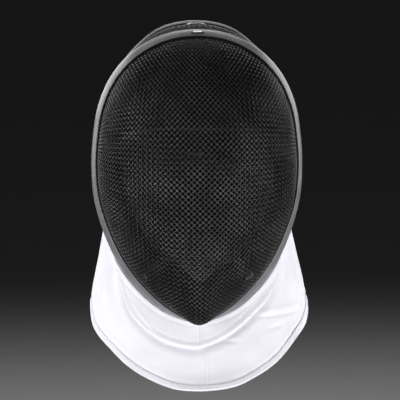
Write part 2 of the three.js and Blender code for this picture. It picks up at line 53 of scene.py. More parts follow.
# From the ear-level frame to the frame of the crown's seat, in millimetres.
SEAT_SHIFT = np.array([0.0, -40.0, -116.25])
MILLIMETRE = 0.001
BODY = "root"


def to_frame(points: Array) -> Array:
    """Moves points to the seat's frame and turns millimetres into metres.

    Args:
        points: Points in the ear-level frame, in millimetres.

    Returns:
        The same points in the model's frame, in metres.
    """
    return (points + SEAT_SHIFT) * MILLIMETRE


def unit(vectors: Array) -> Array:
    """Each vector divided by its length, on the last axis."""
    return vectors / np.maximum(np.linalg.norm(vectors, axis=-1, keepdims=True), 1e-12)


def bell(away: Array, width: float) -> Array:
    """Bell curve: 1 in the middle, and 1/e at a distance of one width."""
    return np.exp(-((away / width) ** 2))


def smooth_run(values: Sequence[float], share: Array) -> Array:
    """Runs smoothly through evenly spaced numbers.

    Between two numbers it is the cubic whose end slopes are half the difference of the
    neighbours on either side.

    Args:
        values: The numbers to run through.
        share: Places along them, from 0 to 1.

    Returns:
        The value at each place.
    """
    v = np.asarray(values, float)
    place = np.clip(share, 0.0, 1.0) * (len(v) - 1)
    i = np.minimum(np.floor(place).astype(int), len(v) - 2)
    f = place - i
    a, b, c, d = (v[np.clip(i + k, 0, len(v) - 1)] for k in (-1, 0, 1, 2))
    return (b * (2 * f**3 - 3 * f**2 + 1) + (c - a) / 2 * (f**3 - 2 * f**2 + f)
            + c * (3 * f**2 - 2 * f**3) + (d - b) / 2 * (f**3 - f**2))


def smooth_path(points: Array, count: int) -> Array:
    """Runs a smooth line through points and spaces new points evenly along it.

    Args:
        points: The points to run through, one row each.
        count: How many points to return.

    Returns:
        The evenly spaced points.
    """
    apart = np.linalg.norm(np.diff(points, axis=0), axis=1)
    steps = np.concatenate([[0.0], np.cumsum(np.sqrt(apart))])
    dense = np.linspace(0.0, steps[-1], 60 * len(points))
    i = np.clip(np.searchsorted(steps, dense, side="right") - 1, 0, len(points) - 2)
    slope = np.gradient(points, steps, axis=0)
    h = (steps[i + 1] - steps[i])[:, None]
    f = ((dense - steps[i])[:, None]) / h
    run = (points[i] * (2 * f**3 - 3 * f**2 + 1) + slope[i] * h * (f**3 - 2 * f**2 + f)
           + points[i + 1] * (3 * f**2 - 2 * f**3) + slope[i + 1] * h * (f**3 - f**2))
    return evenly(run, count)


def lengths(path: Array) -> Array:
    """Distance along a path at each of its points, from 0 at the first."""
    return np.concatenate([[0.0], np.cumsum(np.linalg.norm(np.diff(path, axis=0), axis=1))])


def along_path(places: Array, run: Array, path: Array) -> Array:
    """Points, or directions, at distances along a path.

    Args:
        places: Distances along the path, of any shape.
        run: Distance at each of the path's points.
        path: The points or directions, one row for each.

    Returns:
        The values, on one more axis than the places.
    """
    return np.stack([np.interp(places, run, column) for column in path.T], axis=-1)


def evenly(path: Array, count: int) -> Array:
    """Places points at even distances along a path.

    Args:
        path: A dense path, one row for each point.
        count: How many points to return.

    Returns:
        The evenly spaced points.
    """
    run = lengths(path)
    return along_path(np.linspace(0.0, run[-1], count), run, path)


# Meshes from whole arrays of points.


def grid_quads(numbers: Array, close_u: bool = False, close_v: bool = False) -> Array:
    """Quads between neighbouring points of a grid.

    Args:
        numbers: The points' numbers, as a grid of u by v.
        close_u: Whether the last row joins the first.
        close_v: Whether the last column joins the first.

    Returns:
        Corner numbers, four for each quad.
    """
    n = np.concatenate([numbers, numbers[:1]]) if close_u else numbers
    n = np.concatenate([n, n[:, :1]], axis=1) if close_v else n
    quads = np.stack([n[:-1, :-1], n[1:, :-1], n[1:, 1:], n[:-1, 1:]], axis=-1)
    return quads.reshape(-1, 4)


def signed_volume(points: Array, faces: Sequence[Array]) -> float:
    """Six times the volume that faces enclose, above zero where they point outwards."""
    total = 0.0
    for group in faces:
        for k in range(1, group.shape[1] - 1):
            a, b, c = points[group[:, 0]], points[group[:, k]], points[group[:, k + 1]]
            total += float(np.einsum("ij,ij->", a, np.cross(b, c)))
    return total


def outward(points: Array, faces: Sequence[Array]) -> List[Array]:
    """The faces of a closed body, turned round if they point inwards."""
    step = -1 if signed_volume(points - points.mean(axis=0), faces) < 0 else 1
    return [group[:, ::step] for group in faces]


def mesh_piece(name: str, points: Array, faces: Sequence[Array], uv: Optional[Array] = None,
               tint: Optional[Array] = None) -> bpy.types.Object:
    """Puts whole arrays of points and faces into a new object, with its faces turned outwards.

    Args:
        name: The object's name.
        points: Points in the ear-level frame, in millimetres.
        faces: Arrays of corner numbers, one array for each number of corners.
        uv: A pair for each point, in millimetres along the cloth, or None.
        tint: A value for each point that its finish reads, or None.

    Returns:
        The object, linked to the scene and riding on the part.
    """
    faces = outward(points, faces)
    corners = np.concatenate([group.ravel() for group in faces]).astype(np.int32)
    totals = np.concatenate([np.full(len(group), group.shape[1]) for group in faces])
    mesh = bpy.data.meshes.new(name)
    mesh.vertices.add(len(points))
    mesh.vertices.foreach_set("co", to_frame(points).astype(np.float32).ravel())
    mesh.loops.add(len(corners))
    mesh.loops.foreach_set("vertex_index", corners)
    mesh.polygons.add(len(totals))
    starts = np.concatenate([[0], np.cumsum(totals)[:-1]]).astype(np.int32)
    mesh.polygons.foreach_set("loop_start", starts)
    mesh.update(calc_edges=True)
    if uv is not None:
        layer = mesh.uv_layers.new(name="cloth")
        layer.data.foreach_set("uv", uv[corners].astype(np.float32).ravel())
    if tint is not None:
        mesh.attributes.new("tint", "FLOAT", "POINT")
        mesh.attributes["tint"].data.foreach_set("value", tint.astype(np.float32))
    mesh.polygons.foreach_set("use_smooth", np.ones(len(totals), bool))
    piece = bpy.data.objects.new(name, mesh)
    bpy.context.scene.collection.objects.link(piece)
    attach(piece, BODY)
    return piece


def closed_shell(outer: Array, inner: Array) -> Tuple[Array, List[Array]]:
    """Joins two layers of points on the same grid into a closed wall.

    Args:
        outer: One layer, a grid of u by v points.
        inner: The other layer.

    Returns:
        The points of both layers and the quads of the wall.
    """
    nu, nv = outer.shape[:2]
    top = np.arange(nu * nv).reshape(nu, nv)
    under = top + nu * nv
    edge = np.concatenate([top[:, 0], top[-1, 1:], top[-2::-1, -1], top[0, -2:0:-1]])
    below = np.concatenate([under[:, 0], under[-1, 1:], under[-2::-1, -1], under[0, -2:0:-1]])
    rim = grid_quads(np.stack([edge, below], axis=1), close_u=True)
    faces = [np.concatenate([grid_quads(top), grid_quads(under)[:, ::-1], rim[:, ::-1]])]
    return np.concatenate([outer.reshape(-1, 3), inner.reshape(-1, 3)]), faces


def swept(rings: Array, closed: bool = False) -> Tuple[Array, List[Array]]:
    """Joins rings of points into a closed body.

    Args:
        rings: One ring of points at each station, as stations by points by 3.
        closed: Whether the last ring joins the first. If not, both ends are capped.

    Returns:
        The points and the faces.
    """
    stations, count = rings.shape[:2]
    numbers = np.arange(stations * count).reshape(stations, count)
    faces = [grid_quads(numbers, close_u=closed, close_v=True)]
    if not closed:
        faces.append(np.stack([numbers[0], numbers[-1, ::-1]]))
    return rings.reshape(-1, 3), faces


def tube(path: Array, radius: Array, up: Array, sides: int = 8) -> Array:
    """Rings round a path: a circle, square to the path at each point.

    Args:
        path: The path's points.
        radius: The ring's radius at each point.
        up: Direction that each ring's first point leans to.
        sides: Points on each ring.

    Returns:
        The rings, as stations by sides by 3.
    """
    run = unit(np.gradient(path, axis=0))
    first = unit(up - run * np.sum(up * run, axis=1, keepdims=True))
    second = np.cross(run, first)
    turn = np.linspace(0.0, 2 * math.pi, sides, endpoint=False)[None, :, None]
    ring = np.cos(turn) * first[:, None] + np.sin(turn) * second[:, None]
    return path[:, None] + radius[:, None, None] * ring


def rounded_square(power: float, points: int) -> Tuple[Array, Array, Array]:
    """A square grid drawn into a rounded square, closer towards its edge.

    Args:
        power: How square it is: 2 gives a circle, and more is squarer.
        points: Points along each side.

    Returns:
        Both coordinates, from -1 to 1, and the distance from the middle as a share.
    """
    line = np.sin(np.linspace(-math.pi / 2, math.pi / 2, points))
    a, b = np.meshgrid(line, line, indexing="ij")
    big = np.maximum(np.abs(a), np.abs(b))
    size = (np.abs(a) ** power + np.abs(b) ** power) ** (1 / power)
    draw = np.where(size > 0, big / np.maximum(size, 1e-9), 1.0)
    return a * draw, b * draw, big


def rounded_ring(points: Array, each: int, passes: int) -> Array:
    """Softens the corners of a closed ring: it is split evenly and then averaged with its
    neighbours, a quarter, a half and a quarter.

    Args:
        points: The ring's corners.
        each: Points made from each side.
        passes: How many times it is averaged.

    Returns:
        The softened ring.
    """
    shares = np.arange(each)[None, :, None] / each
    ring = (points[:, None] * (1 - shares) + np.roll(points, -1, axis=0)[:, None] * shares)
    ring = ring.reshape(-1, points.shape[1])
    for _ in range(passes):
        ring = (np.roll(ring, 1, axis=0) + 2 * ring + np.roll(ring, -1, axis=0)) / 4
    return ring


# The shapes that the pieces follow.

# Brings the top of s^2 (1 - s) to 1.
PROW_HUMP = 6.75


@dataclass(frozen=True)
class Rim:
    """Rim of the face mesh, a closed loop. Stations run from 0 at the crown to 1 at the chin on
    the +X side, and from 0 to -1 on the other. Sizes are in millimetres."""

    width: float = 193.2
    height: float = 265.0
    top: float = 120.5
    sweep: float = 53.0
    chin_depth: float = -28.0
    across: Tuple[float, ...] = (0.0, 0.312, 0.586, 0.792, 0.923, 0.980, 1.0, 0.977, 0.887, 0.747,
                                 0.543, 0.292, 0.0)
    down: Tuple[float, ...] = (0.0, 0.018, 0.074, 0.158, 0.264, 0.377, 0.491, 0.604, 0.715, 0.816,
                               0.904, 0.971, 1.0)
    back: Tuple[float, ...] = (0.68, 0.70, 0.76, 0.86, 0.94, 0.99, 1.0, 0.92, 0.75, 0.50, 0.26,
                               0.07, 0.0)

    def column(self, values: Sequence[float], station: Array, side: int = 1) -> Array:
        """Value of a column at each station, running on past crown and chin as its mirror image.

        Args:
            values: The column from crown to chin.
            station: Places round the loop.
            side: -1 for a column that changes sign across the middle.

        Returns:
            The values, for the +X side.
        """
        half = np.asarray(values, float)
        last = len(half) - 1
        padded = np.concatenate([side * half[2:0:-1], half, side * half[-2:-4:-1]])
        return smooth_run(padded, (np.abs(wrapped(station)) * last + 2) / (len(padded) - 1))

    def point(self, station: Array) -> Array:
        """Points of the rim: across, back and down are shares of its width, sweep and height."""
        side = np.where(wrapped(station) < 0, -1.0, 1.0)
        return np.stack([
            side * self.column(self.across, station, -1) * self.width / 2,
            self.chin_depth + self.column(self.back, station) * self.sweep,
            self.top - self.column(self.down, station) * self.height,
        ], axis=-1)

    def per_station(self, start: float, step: float) -> float:
        """Distance along the rim for a whole unit of station, measured over a short step."""
        ends = self.point(np.array([start, start + step]))
        return float(np.linalg.norm(ends[1] - ends[0])) / step

    def out(self, station: Array) -> Array:
        """Outward direction, square to the rim as seen from the front."""
        run = self.point(station + 0.004) - self.point(station - 0.004)
        return unit(np.stack([-run[..., 2], np.zeros_like(run[..., 0]), run[..., 0]], axis=-1))


# The rim's across column for the mesh itself, which tapers more towards the chin.
DRAWN_IN = (0.0, 0.312, 0.586, 0.792, 0.923, 0.980, 0.998, 0.966, 0.862, 0.708, 0.492, 0.244, 0.0)


def wrapped(station: Array) -> Array:
    """Stations brought into the range from -1 to 1."""
    return (np.asarray(station, float) + 1.0) % 2.0 - 1.0


@dataclass(frozen=True)
class Dome:
    """Face mesh: from each rim point it closes towards the foremost point as a squared circle
    does, with a low prow under the chin."""

    rim: Rim = field(default_factory=Rim)
    front: float = -97.0
    level: float = -12.0
    prow: float = 0.055
    full: Tuple[float, ...] = (2.1,) * 7 + (2.15, 2.2, 2.3, 2.4, 2.55, 2.75)
    prow_share: Tuple[float, ...] = (0.0,) * 11 + (0.05, 1.0)

    def columns(self, station: Array) -> Tuple[Array, Array]:
        """How squarely the dome closes, and its share of the prow, at each station."""
        full = self.rim.column(self.full, station)
        return full, np.maximum(self.rim.column(self.prow_share, station), 0.0)

    def point(self, station: Array, share: Array) -> Array:
        """Points of the dome.

        With share s of the way forward, the rim point is drawn in to k = (1 - s^full)^(1/full),
        times 1 plus the prow's hump 6.75 s^2 (1 - s).

        Args:
            station: Places round the rim.
            share: Shares of the way forward, from 0 at the rim.

        Returns:
            The points.
        """
        edge = self.rim.point(station)
        full, prow = self.columns(station)
        close = np.maximum(1 - np.abs(share) ** full, 0.0) ** (1 / full)
        k = close * (1 + self.prow * prow * PROW_HUMP * share**2 * (1 - share))
        return np.stack([
            edge[..., 0] * k,
            edge[..., 1] + (self.front - edge[..., 1]) * share,
            self.level + (edge[..., 2] - self.level) * k,
        ], axis=-1)

    def inward(self, station: Array, share: Array) -> Array:
        """Direction into the mask, square to the dome, from its slopes along both shares."""
        step = 0.003
        s0, s1 = np.maximum(share - step, 0.0), np.minimum(share + step, 0.999)
        along = self.point(station + step, share) - self.point(station - step, share)
        forward = self.point(station, s1) - self.point(station, s0)
        return unit(np.cross(along, forward))

    def offset(self, station: Array, share: Array, depth: Array) -> Array:
        """Points at a depth inside the dome."""
        return self.point(station, share) + self.inward(station, share) * depth[..., None]

    def at_rim(self, station: Array, back: Array, out: Array) -> Array:
        """Points placed from the rim.

        Args:
            station: Places round the rim.
            back: Distance behind the rim, or forward of it along the mesh where less than zero.
            out: Distance outward, square to the rim.

        Returns:
            The points.
        """
        edge = self.rim.point(station)
        share = np.clip(-back / (edge[..., 1] - self.front), 0.0, 1.0)
        point = self.point(station, share)
        point[..., 1] += np.maximum(back, 0.0)
        return point + self.rim.out(station) * np.asarray(out)[..., None]


class DomeLevel:
    """The dome as one equation in x, y and z, looked up by the angle round its foremost point.

    The table's rows are the rim's distance from the axis and its place back, how squarely the
    dome closes, its share of the prow, and the station."""

    DISTANCE, BACK, FULL, PROW, STATION = range(5)

    def __init__(self, dome: Dome, samples: int = 4001) -> None:
        """Samples the rim and sorts it by angle.

        Args:
            dome: The dome to follow.
            samples: Places taken round the rim.
        """
        station = np.linspace(-1.0, 1.0, samples)[:-1]
        edge = dome.rim.point(station)
        full, prow = dome.columns(station)
        angle = np.arctan2(edge[:, 2] - dome.level, edge[:, 0])
        order = np.argsort(angle)
        self.dome = dome
        self.angle = angle[order]
        self.table = np.stack([
            np.hypot(edge[:, 0], edge[:, 2] - dome.level), edge[:, 1], full, prow, station,
        ])[:, order]

    def look_up(self, points: Array, row: int) -> Array:
        """A row of the table at each point's angle."""
        angle = np.arctan2(points[..., 2] - self.dome.level, points[..., 0])
        return np.interp(angle, self.angle, self.table[row], period=2 * math.pi)

    def forward(self, points: Array) -> Array:
        """Share of the way forward from the rim, less than zero behind it."""
        edge = self.look_up(points, self.BACK)
        return (edge - points[..., 1]) / (edge - self.dome.front)

    def value(self, points: Array) -> Array:
        """Zero on the dome, less inside: (distance from the axis / rim distance)^full plus
        (share forward)^full, less one. Behind the rim the dome runs straight back."""
        full = self.look_up(points, self.FULL)
        share = np.clip(self.forward(points), 0.0, 1.5)
        hump = np.maximum(PROW_HUMP * share**2 * (1 - share), 0.0)
        prow = self.dome.prow * self.look_up(points, self.PROW)
        edge = self.look_up(points, self.DISTANCE) * (1 + prow * hump)
        away = np.hypot(points[..., 0], points[..., 2] - self.dome.level)
        return (away / edge) ** full + share**full - 1.0

    def slope(self, points: Array) -> Array:
        """Slope of the value along x, y and z."""
        step = 0.02
        sides = np.eye(3) * step
        rise = [(self.value(points + s) - self.value(points - s)) / (2 * step) for s in sides]
        return np.stack(rise, axis=-1)

    def depth(self, points: Array) -> Tuple[Array, Array]:
        """About how far inside the dome each point is, and the outward direction there."""
        slope = self.slope(points)
        size = np.maximum(np.linalg.norm(slope, axis=-1), 1e-6)
        return -self.value(points) / size, slope / size[..., None]


@dataclass(frozen=True)
class RearCrown:
    """Mesh over the back of the crown, between the face edging and its own free edge."""

    rim: Rim = field(default_factory=Rim)
    depth: float = 76.0
    lift: float = 6.0
    crown: float = 4.0
    end: float = 0.6
    start_back: float = 5.8
    inset: float = 1.0
    narrow: Tuple[float, ...] = (0.960, 0.950, 0.885, 0.890, 0.900, 0.910, 0.925, 0.950)
    lift_share: Tuple[float, ...] = (0.25, 0.28, 0.50, 1.00, 0.90, 0.88, 0.70, 0.30)
    back: Tuple[float, ...] = (1.000, 0.985, 0.925, 0.810, 0.655, 0.490, 0.300, 0.150)

    def point(self, station: Array, share: Array) -> Array:
        """Points of the rear mesh: a straight way from the face edging to the free edge, crowned
        by a half sine.

        Args:
            station: Places round the rim, up to the end station on both sides.
            share: Shares of the way back.

        Returns:
            The points.
        """
        near = self.rim.point(station)
        out = self.rim.out(station)
        t = np.abs(station) / self.end
        back = smooth_run(self.back, t)
        start = near - out * self.inset + np.array([0.0, self.start_back, 0.0])
        end = np.stack([
            near[..., 0] * smooth_run(self.narrow, t),
            near[..., 1] + self.depth * back,
            near[..., 2] + self.lift * smooth_run(self.lift_share, t),
        ], axis=-1)
        share = np.asarray(share, float)[..., None]
        crown = self.crown * np.sin(math.pi * share) * back[..., None] ** 2
        return start * (1 - share) + end * share + out * crown


# Finishes.


class Weave(Enum):
    """How the threads of a cloth cross."""

    PLAIN = "plain"
    KNIT = "knit"
    RIBBED = "ribbed"


class Nodes:
    """A material's node tree, with short ways to add what the finishes use."""

    # The sockets that the colour mix and the range node use, by number.
    MIX_SHARE, MIX_UNDER, MIX_TOP, MIX_RESULT = 0, 6, 7, 2
    RANGE_ENDS = (1, 2, 3, 4)

    def __init__(self, name: str) -> None:
        """Starts a material with one shader.

        Args:
            name: The material's name.
        """
        self.material = bpy.data.materials.new(name)
        self.material.use_nodes = True
        self.tree = self.material.node_tree
        self.shader = self.tree.nodes["Principled BSDF"]

    def add(self, kind: str, **settings: object) -> bpy.types.Node:
        """Adds a node and sets what is named.

        Args:
            kind: The node's type.
            **settings: The node's own settings.

        Returns:
            The node.
        """
        node = self.tree.nodes.new(kind)
        for key, value in settings.items():
            setattr(node, key, value)
        return node

    def link(self, source: bpy.types.NodeSocket, target: bpy.types.NodeSocket) -> None:
        """Joins two sockets."""
        self.tree.links.new(source, target)

    def constants(self, **values: object) -> None:
        """Sets constant values on the shader's own sockets, named with underscores for spaces."""
        for key, value in values.items():
            self.shader.inputs[key.replace("_", " ")].default_value = value

    def object_place(self, scale: Sequence[float] = (1.0, 1.0, 1.0)) -> bpy.types.NodeSocket:
        """Object coordinates times a scale on each axis."""
        place = self.add("ShaderNodeMapping")
        place.inputs["Scale"].default_value = tuple(scale)
        self.link(self.add("ShaderNodeTexCoord").outputs["Object"], place.inputs["Vector"])
        return place.outputs["Vector"]

    def cloth_place(self) -> bpy.types.NodeSocket:
        """The piece's own cloth coordinates, in millimetres."""
        return self.add("ShaderNodeUVMap", uv_map="cloth").outputs["UV"]

    def noise(self, place: bpy.types.NodeSocket, scale: float, detail: float = 3.0,
              roughness: float = 0.5) -> bpy.types.NodeSocket:
        """Soft noise at a place, from 0 to 1."""
        node = self.add("ShaderNodeTexNoise")
        node.inputs["Scale"].default_value = scale
        node.inputs["Detail"].default_value = detail
        node.inputs["Roughness"].default_value = roughness
        self.link(place, node.inputs["Vector"])
        return node.outputs["Fac"]

    def math(self, operation: str, *values: object) -> bpy.types.NodeSocket:
        """One sum on sockets or numbers.

        Args:
            operation: The sum's name.
            *values: Sockets or numbers.

        Returns:
            The result's socket.
        """
        node = self.add("ShaderNodeMath", operation=operation)
        for socket, value in zip(node.inputs, values):
            if isinstance(value, (int, float)):
                socket.default_value = value
            else:
                self.link(value, socket)
        return node.outputs[0]

    def spread(self, value: bpy.types.NodeSocket, low: float, high: float, to_low: float,
               to_high: float) -> bpy.types.NodeSocket:
        """Carries a value from one range to another and stops at its ends."""
        node = self.add("ShaderNodeMapRange")
        for k, number in zip(self.RANGE_ENDS, (low, high, to_low, to_high)):
            node.inputs[k].default_value = number
        self.link(value, node.inputs[0])
        return node.outputs[0]

    def mix(self, share: bpy.types.NodeSocket, under: object, top: Colour) -> bpy.types.NodeSocket:
        """A colour laid over a colour or a socket, by a share from 0 to 1."""
        node = self.add("ShaderNodeMix", data_type="RGBA")
        node.inputs[self.MIX_TOP].default_value = (*top, 1.0)
        self.link(share, node.inputs[self.MIX_SHARE])
        if isinstance(under, tuple):
            node.inputs[self.MIX_UNDER].default_value = (*under, 1.0)
        else:
            self.link(under, node.inputs[self.MIX_UNDER])
        return node.outputs[self.MIX_RESULT]

    def tint(self) -> bpy.types.NodeSocket:
        """The value that the mesh keeps for each of its points."""
        return self.add("ShaderNodeAttribute", attribute_name="tint").outputs["Fac"]

    def summed(self, first: bpy.types.NodeSocket, first_share: float,
               second: bpy.types.NodeSocket, second_share: float) -> bpy.types.NodeSocket:
        """Two sockets, each times its share, added."""
        return self.math("ADD", self.math("MULTIPLY", first, first_share),
                         self.math("MULTIPLY", second, second_share))

    def colour(self, socket: bpy.types.NodeSocket) -> None:
        """Drives the shader's base colour."""
        self.link(socket, self.shader.inputs["Base Color"])

    def roughness(self, socket: bpy.types.NodeSocket) -> None:
        """Drives the shader's roughness."""
        self.link(socket, self.shader.inputs["Roughness"])

    def relief(self, height: bpy.types.NodeSocket, depth_mm: float, strength: float = 1.0,
               under: Optional[bpy.types.NodeSocket] = None) -> bpy.types.NodeSocket:
        """Turns a height from 0 to 1 into fine relief on the surface.

        Args:
            height: The height's socket.
            depth_mm: Depth of the relief in millimetres.
            strength: Strength of the relief.
            under: Relief that this one lies on, or None.

        Returns:
            The socket of the resulting normal.
        """
        node = self.add("ShaderNodeBump")
        node.inputs["Strength"].default_value = strength
        node.inputs["Distance"].default_value = depth_mm * MILLIMETRE
        self.link(height, node.inputs["Height"])
        if under is not None:
            self.link(under, node.inputs["Normal"])
        self.link(node.outputs["Normal"], self.shader.inputs["Normal"])
        return node.outputs["Normal"]


def dress(piece: bpy.types.Object, material: bpy.types.Material, slot: str,
          node: Optional[str] = None) -> None:
    """Gives a piece its material and hides the solid that it takes over.

    Args:
        piece: The object.
        material: Its material.
        slot: Not used.
        node: The solid node that it replaces, or None if another piece does.
    """
    piece.data.materials.clear()
    piece.data.materials.append(material)
    if node:
        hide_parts(node)


@dataclass(frozen=True)
class CoatedWire:
    """Black-coated steel wire with painted shade, darker underneath and lighter on top, and a
    patchy painted highlight where it stands highest.
    """

    name: str = "coated_wire"
    # low and high are painted shade and painted light by the wire's height, and highlighted is a
    # painted highlight.
    low: Colour = (0.0030, 0.0030, 0.0030)
    high: Colour = (0.0150, 0.0150, 0.0148)
    highlighted: Colour = (0.145, 0.145, 0.142)
    roughness: Tuple[float, float] = (0.24, 0.38)

    def make(self) -> bpy.types.Material:
        """Builds the material: colour and gloss follow the wire's height and a fine noise; the
        height paints shade underneath and a patchy highlight on top.

        Returns:
            The material.
        """
        nodes = Nodes(self.name)
        nodes.constants(Metallic=0.4, IOR=1.45)
        height = nodes.tint()
        grain = nodes.noise(nodes.object_place(), 900.0)
        patch = nodes.noise(nodes.object_place(), 45.0, 2.0)
        # Painted shade: dark where the wire lies low, lighter where it stands high, with a patchy
        # painted highlight on the highest knuckles.
        base = nodes.mix(nodes.spread(height, 0.1, 0.9, 0.0, 1.0), self.low, self.high)
        highlight_share = nodes.math("MULTIPLY", nodes.spread(height, 0.72, 1.0, 0.0, 1.0),
                          nodes.spread(patch, 0.40, 0.68, 0.1, 0.9))
        nodes.colour(nodes.mix(highlight_share, base, self.highlighted))
        nodes.roughness(nodes.spread(grain, 0.3, 0.7, *self.roughness))
        nodes.relief(grain, 0.03, 0.5)
        return nodes.material


@dataclass(frozen=True)
class EdgingTape:
    """Satin coated tape with a fine grain, a patchy painted highlight along its fold and a painted
    black shadow along its inner edge.
    """

    name: str
    dark: Colour = (0.130, 0.127, 0.138)
    light: Colour = (0.175, 0.171, 0.185)
    # Painted highlight colour laid along the fold.
    fold_highlight: Colour = (0.240, 0.236, 0.250)
    # cut is the painted shadow colour for the gap between the tape's inner edge and the mesh.
    cut: Colour = (0.003, 0.003, 0.003)
    roughness: Tuple[float, float] = (0.34, 0.48)
    gap_shade_ends: Tuple[float, float] = (-0.7, -0.2)

    def make(self) -> bpy.types.Material:
        """Builds the material: a cloudy base, a patchy painted highlight along the tape's fold, and
        black and without its coat on the inner edge as painted shadow in its gap over the mesh. The
        tint is 1 on the fold and -1 on that edge.

        Returns:
            The material.
        """
        nodes = Nodes(self.name)
        nodes.constants(IOR=1.5, Coat_Roughness=0.28)
        fold = nodes.tint()
        coat = nodes.spread(fold, *self.gap_shade_ends, 0.0, 0.35)
        nodes.link(coat, nodes.shader.inputs["Coat Weight"])
        cloud = nodes.noise(nodes.object_place(), 60.0, 4.0)
        pores = nodes.noise(nodes.object_place(), 1400.0, 2.0)
        base = nodes.mix(nodes.spread(cloud, 0.35, 0.65, 0.0, 1.0), self.dark, self.light)
        # Painted highlight along the fold, in patches from the clouds.
        fold_highlight_share = nodes.math("MULTIPLY", nodes.spread(fold, 0.0, 1.0, 0.0, 1.0),
                         nodes.spread(cloud, 0.30, 0.62, 0.45, 1.0))
        highlighted = nodes.mix(fold_highlight_share, base, self.fold_highlight)
        # The inner edge is painted black as the shadow in its gap over the mesh.
        nodes.colour(nodes.mix(nodes.spread(fold, *self.gap_shade_ends, 1.0, 0.0), highlighted, self.cut))
        satin = nodes.spread(pores, 0.3, 0.7, *self.roughness)
        gap_shade_matte = nodes.spread(fold, *self.gap_shade_ends, 0.95, 0.0)
        nodes.roughness(nodes.math("MAXIMUM", satin, gap_shade_matte))
        grain = nodes.relief(pores, 0.05, 0.6)
        nodes.relief(cloud, 0.30, 0.35, grain)
        return nodes.material


@dataclass(frozen=True)
class Steel:
    """Bare steel with fine lines drawn along one axis."""

    name: str
    dark: Colour
    light: Colour
    lines: Tuple[float, float, float] = (40.0, 900.0, 900.0)
    roughness: Tuple[float, float] = (0.18, 0.32)
    metallic: float = 1.0
    # Painted shadow round the piece's edge, where its tint is 1.
    shade_edged: bool = False
    edge_shade: Colour = (0.01, 0.01, 0.01)

    def make(self) -> bpy.types.Material:
        """Builds the material: long thin noise gives the drawn lines. A shade-edged piece is
        painted dark where its tint is 1, as the shadow round its edge.

        Returns:
            The material.
        """
        nodes = Nodes(self.name)
        nodes.constants(Metallic=self.metallic)
        drawn = nodes.noise(nodes.object_place(self.lines), 3.0, 4.0, 0.6)
        stain = nodes.noise(nodes.object_place(), 70.0, 3.0)
        share = nodes.math("MULTIPLY", nodes.spread(drawn, 0.3, 0.7, 0.2, 1.0),
                           nodes.spread(stain, 0.25, 0.6, 0.6, 1.0))
        metal = nodes.mix(share, self.dark, self.light)
        if self.shade_edged:
            metal = nodes.mix(nodes.tint(), metal, self.edge_shade)
        nodes.colour(metal)
        nodes.roughness(nodes.spread(drawn, 0.3, 0.7, *self.roughness))
        nodes.relief(drawn, 0.04, 0.35)
        return nodes.material


@dataclass(frozen=True)
class Cloth:
    """A cloth whose threads are drawn in its own coordinates, or in the object's for a pad."""

    name: str
    weave: Weave
    valley: Colour
    crown: Colour
    pitch_mm: float = 0.8
    depth_mm: float = 0.12
    sheen: float = 0.3
    cloudiness: float = 0.25
    roughness: float = 0.85

    def make(self) -> bpy.types.Material:
        """Builds the material from the height of its threads, a fuzz and slow clouds: darker
        between threads as painted shade, lighter on their tops, the clouds a random tone.

        Returns:
            The material.
        """
        nodes = Nodes(self.name)
        nodes.constants(Sheen_Weight=self.sheen, Sheen_Roughness=0.45, Specular_IOR_Level=0.25)
        if self.weave is Weave.KNIT:
            place = nodes.object_place((1000.0, 1000.0, 1000.0))
            height = self.knit(nodes, place)
        else:
            place = nodes.cloth_place()
            height = self.threads(nodes, place)
        fuzz = nodes.noise(place, 1.6, 4.0, 0.65)
        cloud = nodes.noise(place, 0.045, 3.0)
        height = nodes.summed(height, 0.8, fuzz, 0.35)
        share = nodes.summed(height, 1.0 - self.cloudiness, cloud, self.cloudiness)
        # Painted shade: darker in the valleys between threads, lighter on their crowns.
        nodes.colour(nodes.mix(nodes.spread(share, 0.15, 0.85, 0.0, 1.0), self.valley, self.crown))
        nodes.roughness(nodes.spread(fuzz, 0.3, 0.7, self.roughness - 0.08, self.roughness + 0.08))
        weave = nodes.relief(height, self.depth_mm, 0.9)
        nodes.relief(cloud, 1.2, 0.25, weave)
        return nodes.material

    def wave(self, nodes: Nodes, value: bpy.types.NodeSocket,
             pitch: float) -> bpy.types.NodeSocket:
        """A sine squared along one axis, one crest for each pitch."""
        sine = nodes.math("SINE", nodes.math("MULTIPLY", value, math.pi / pitch))
        return nodes.math("MULTIPLY", sine, sine)

    def threads(self, nodes: Nodes, place: bpy.types.NodeSocket) -> bpy.types.NodeSocket:
        """Height of the crossed threads, or of ribs with a fine cross thread."""
        apart = nodes.add("ShaderNodeSeparateXYZ")
        nodes.link(place, apart.inputs[0])
        along, across = apart.outputs[0], apart.outputs[1]
        if self.weave is Weave.RIBBED:
            rib = self.wave(nodes, across, self.pitch_mm * 2.2)
            cross = self.wave(nodes, along, self.pitch_mm)
            return nodes.summed(rib, 0.6, cross, 0.4)
        warp = self.wave(nodes, along, self.pitch_mm)
        weft = self.wave(nodes, across, self.pitch_mm)
        return nodes.summed(warp, 0.5, weft, 0.5)

    def knit(self, nodes: Nodes, place: bpy.types.NodeSocket) -> bpy.types.NodeSocket:
        """Height of small round loops, from the distance to scattered points."""
        loops = nodes.add("ShaderNodeTexVoronoi")
        loops.inputs["Scale"].default_value = 1.0 / self.pitch_mm
        loops.inputs["Randomness"].default_value = 0.35
        nodes.link(place, loops.inputs["Vector"])
        return nodes.spread(loops.outputs["Distance"], 0.0, 0.6, 1.0, 0.0)


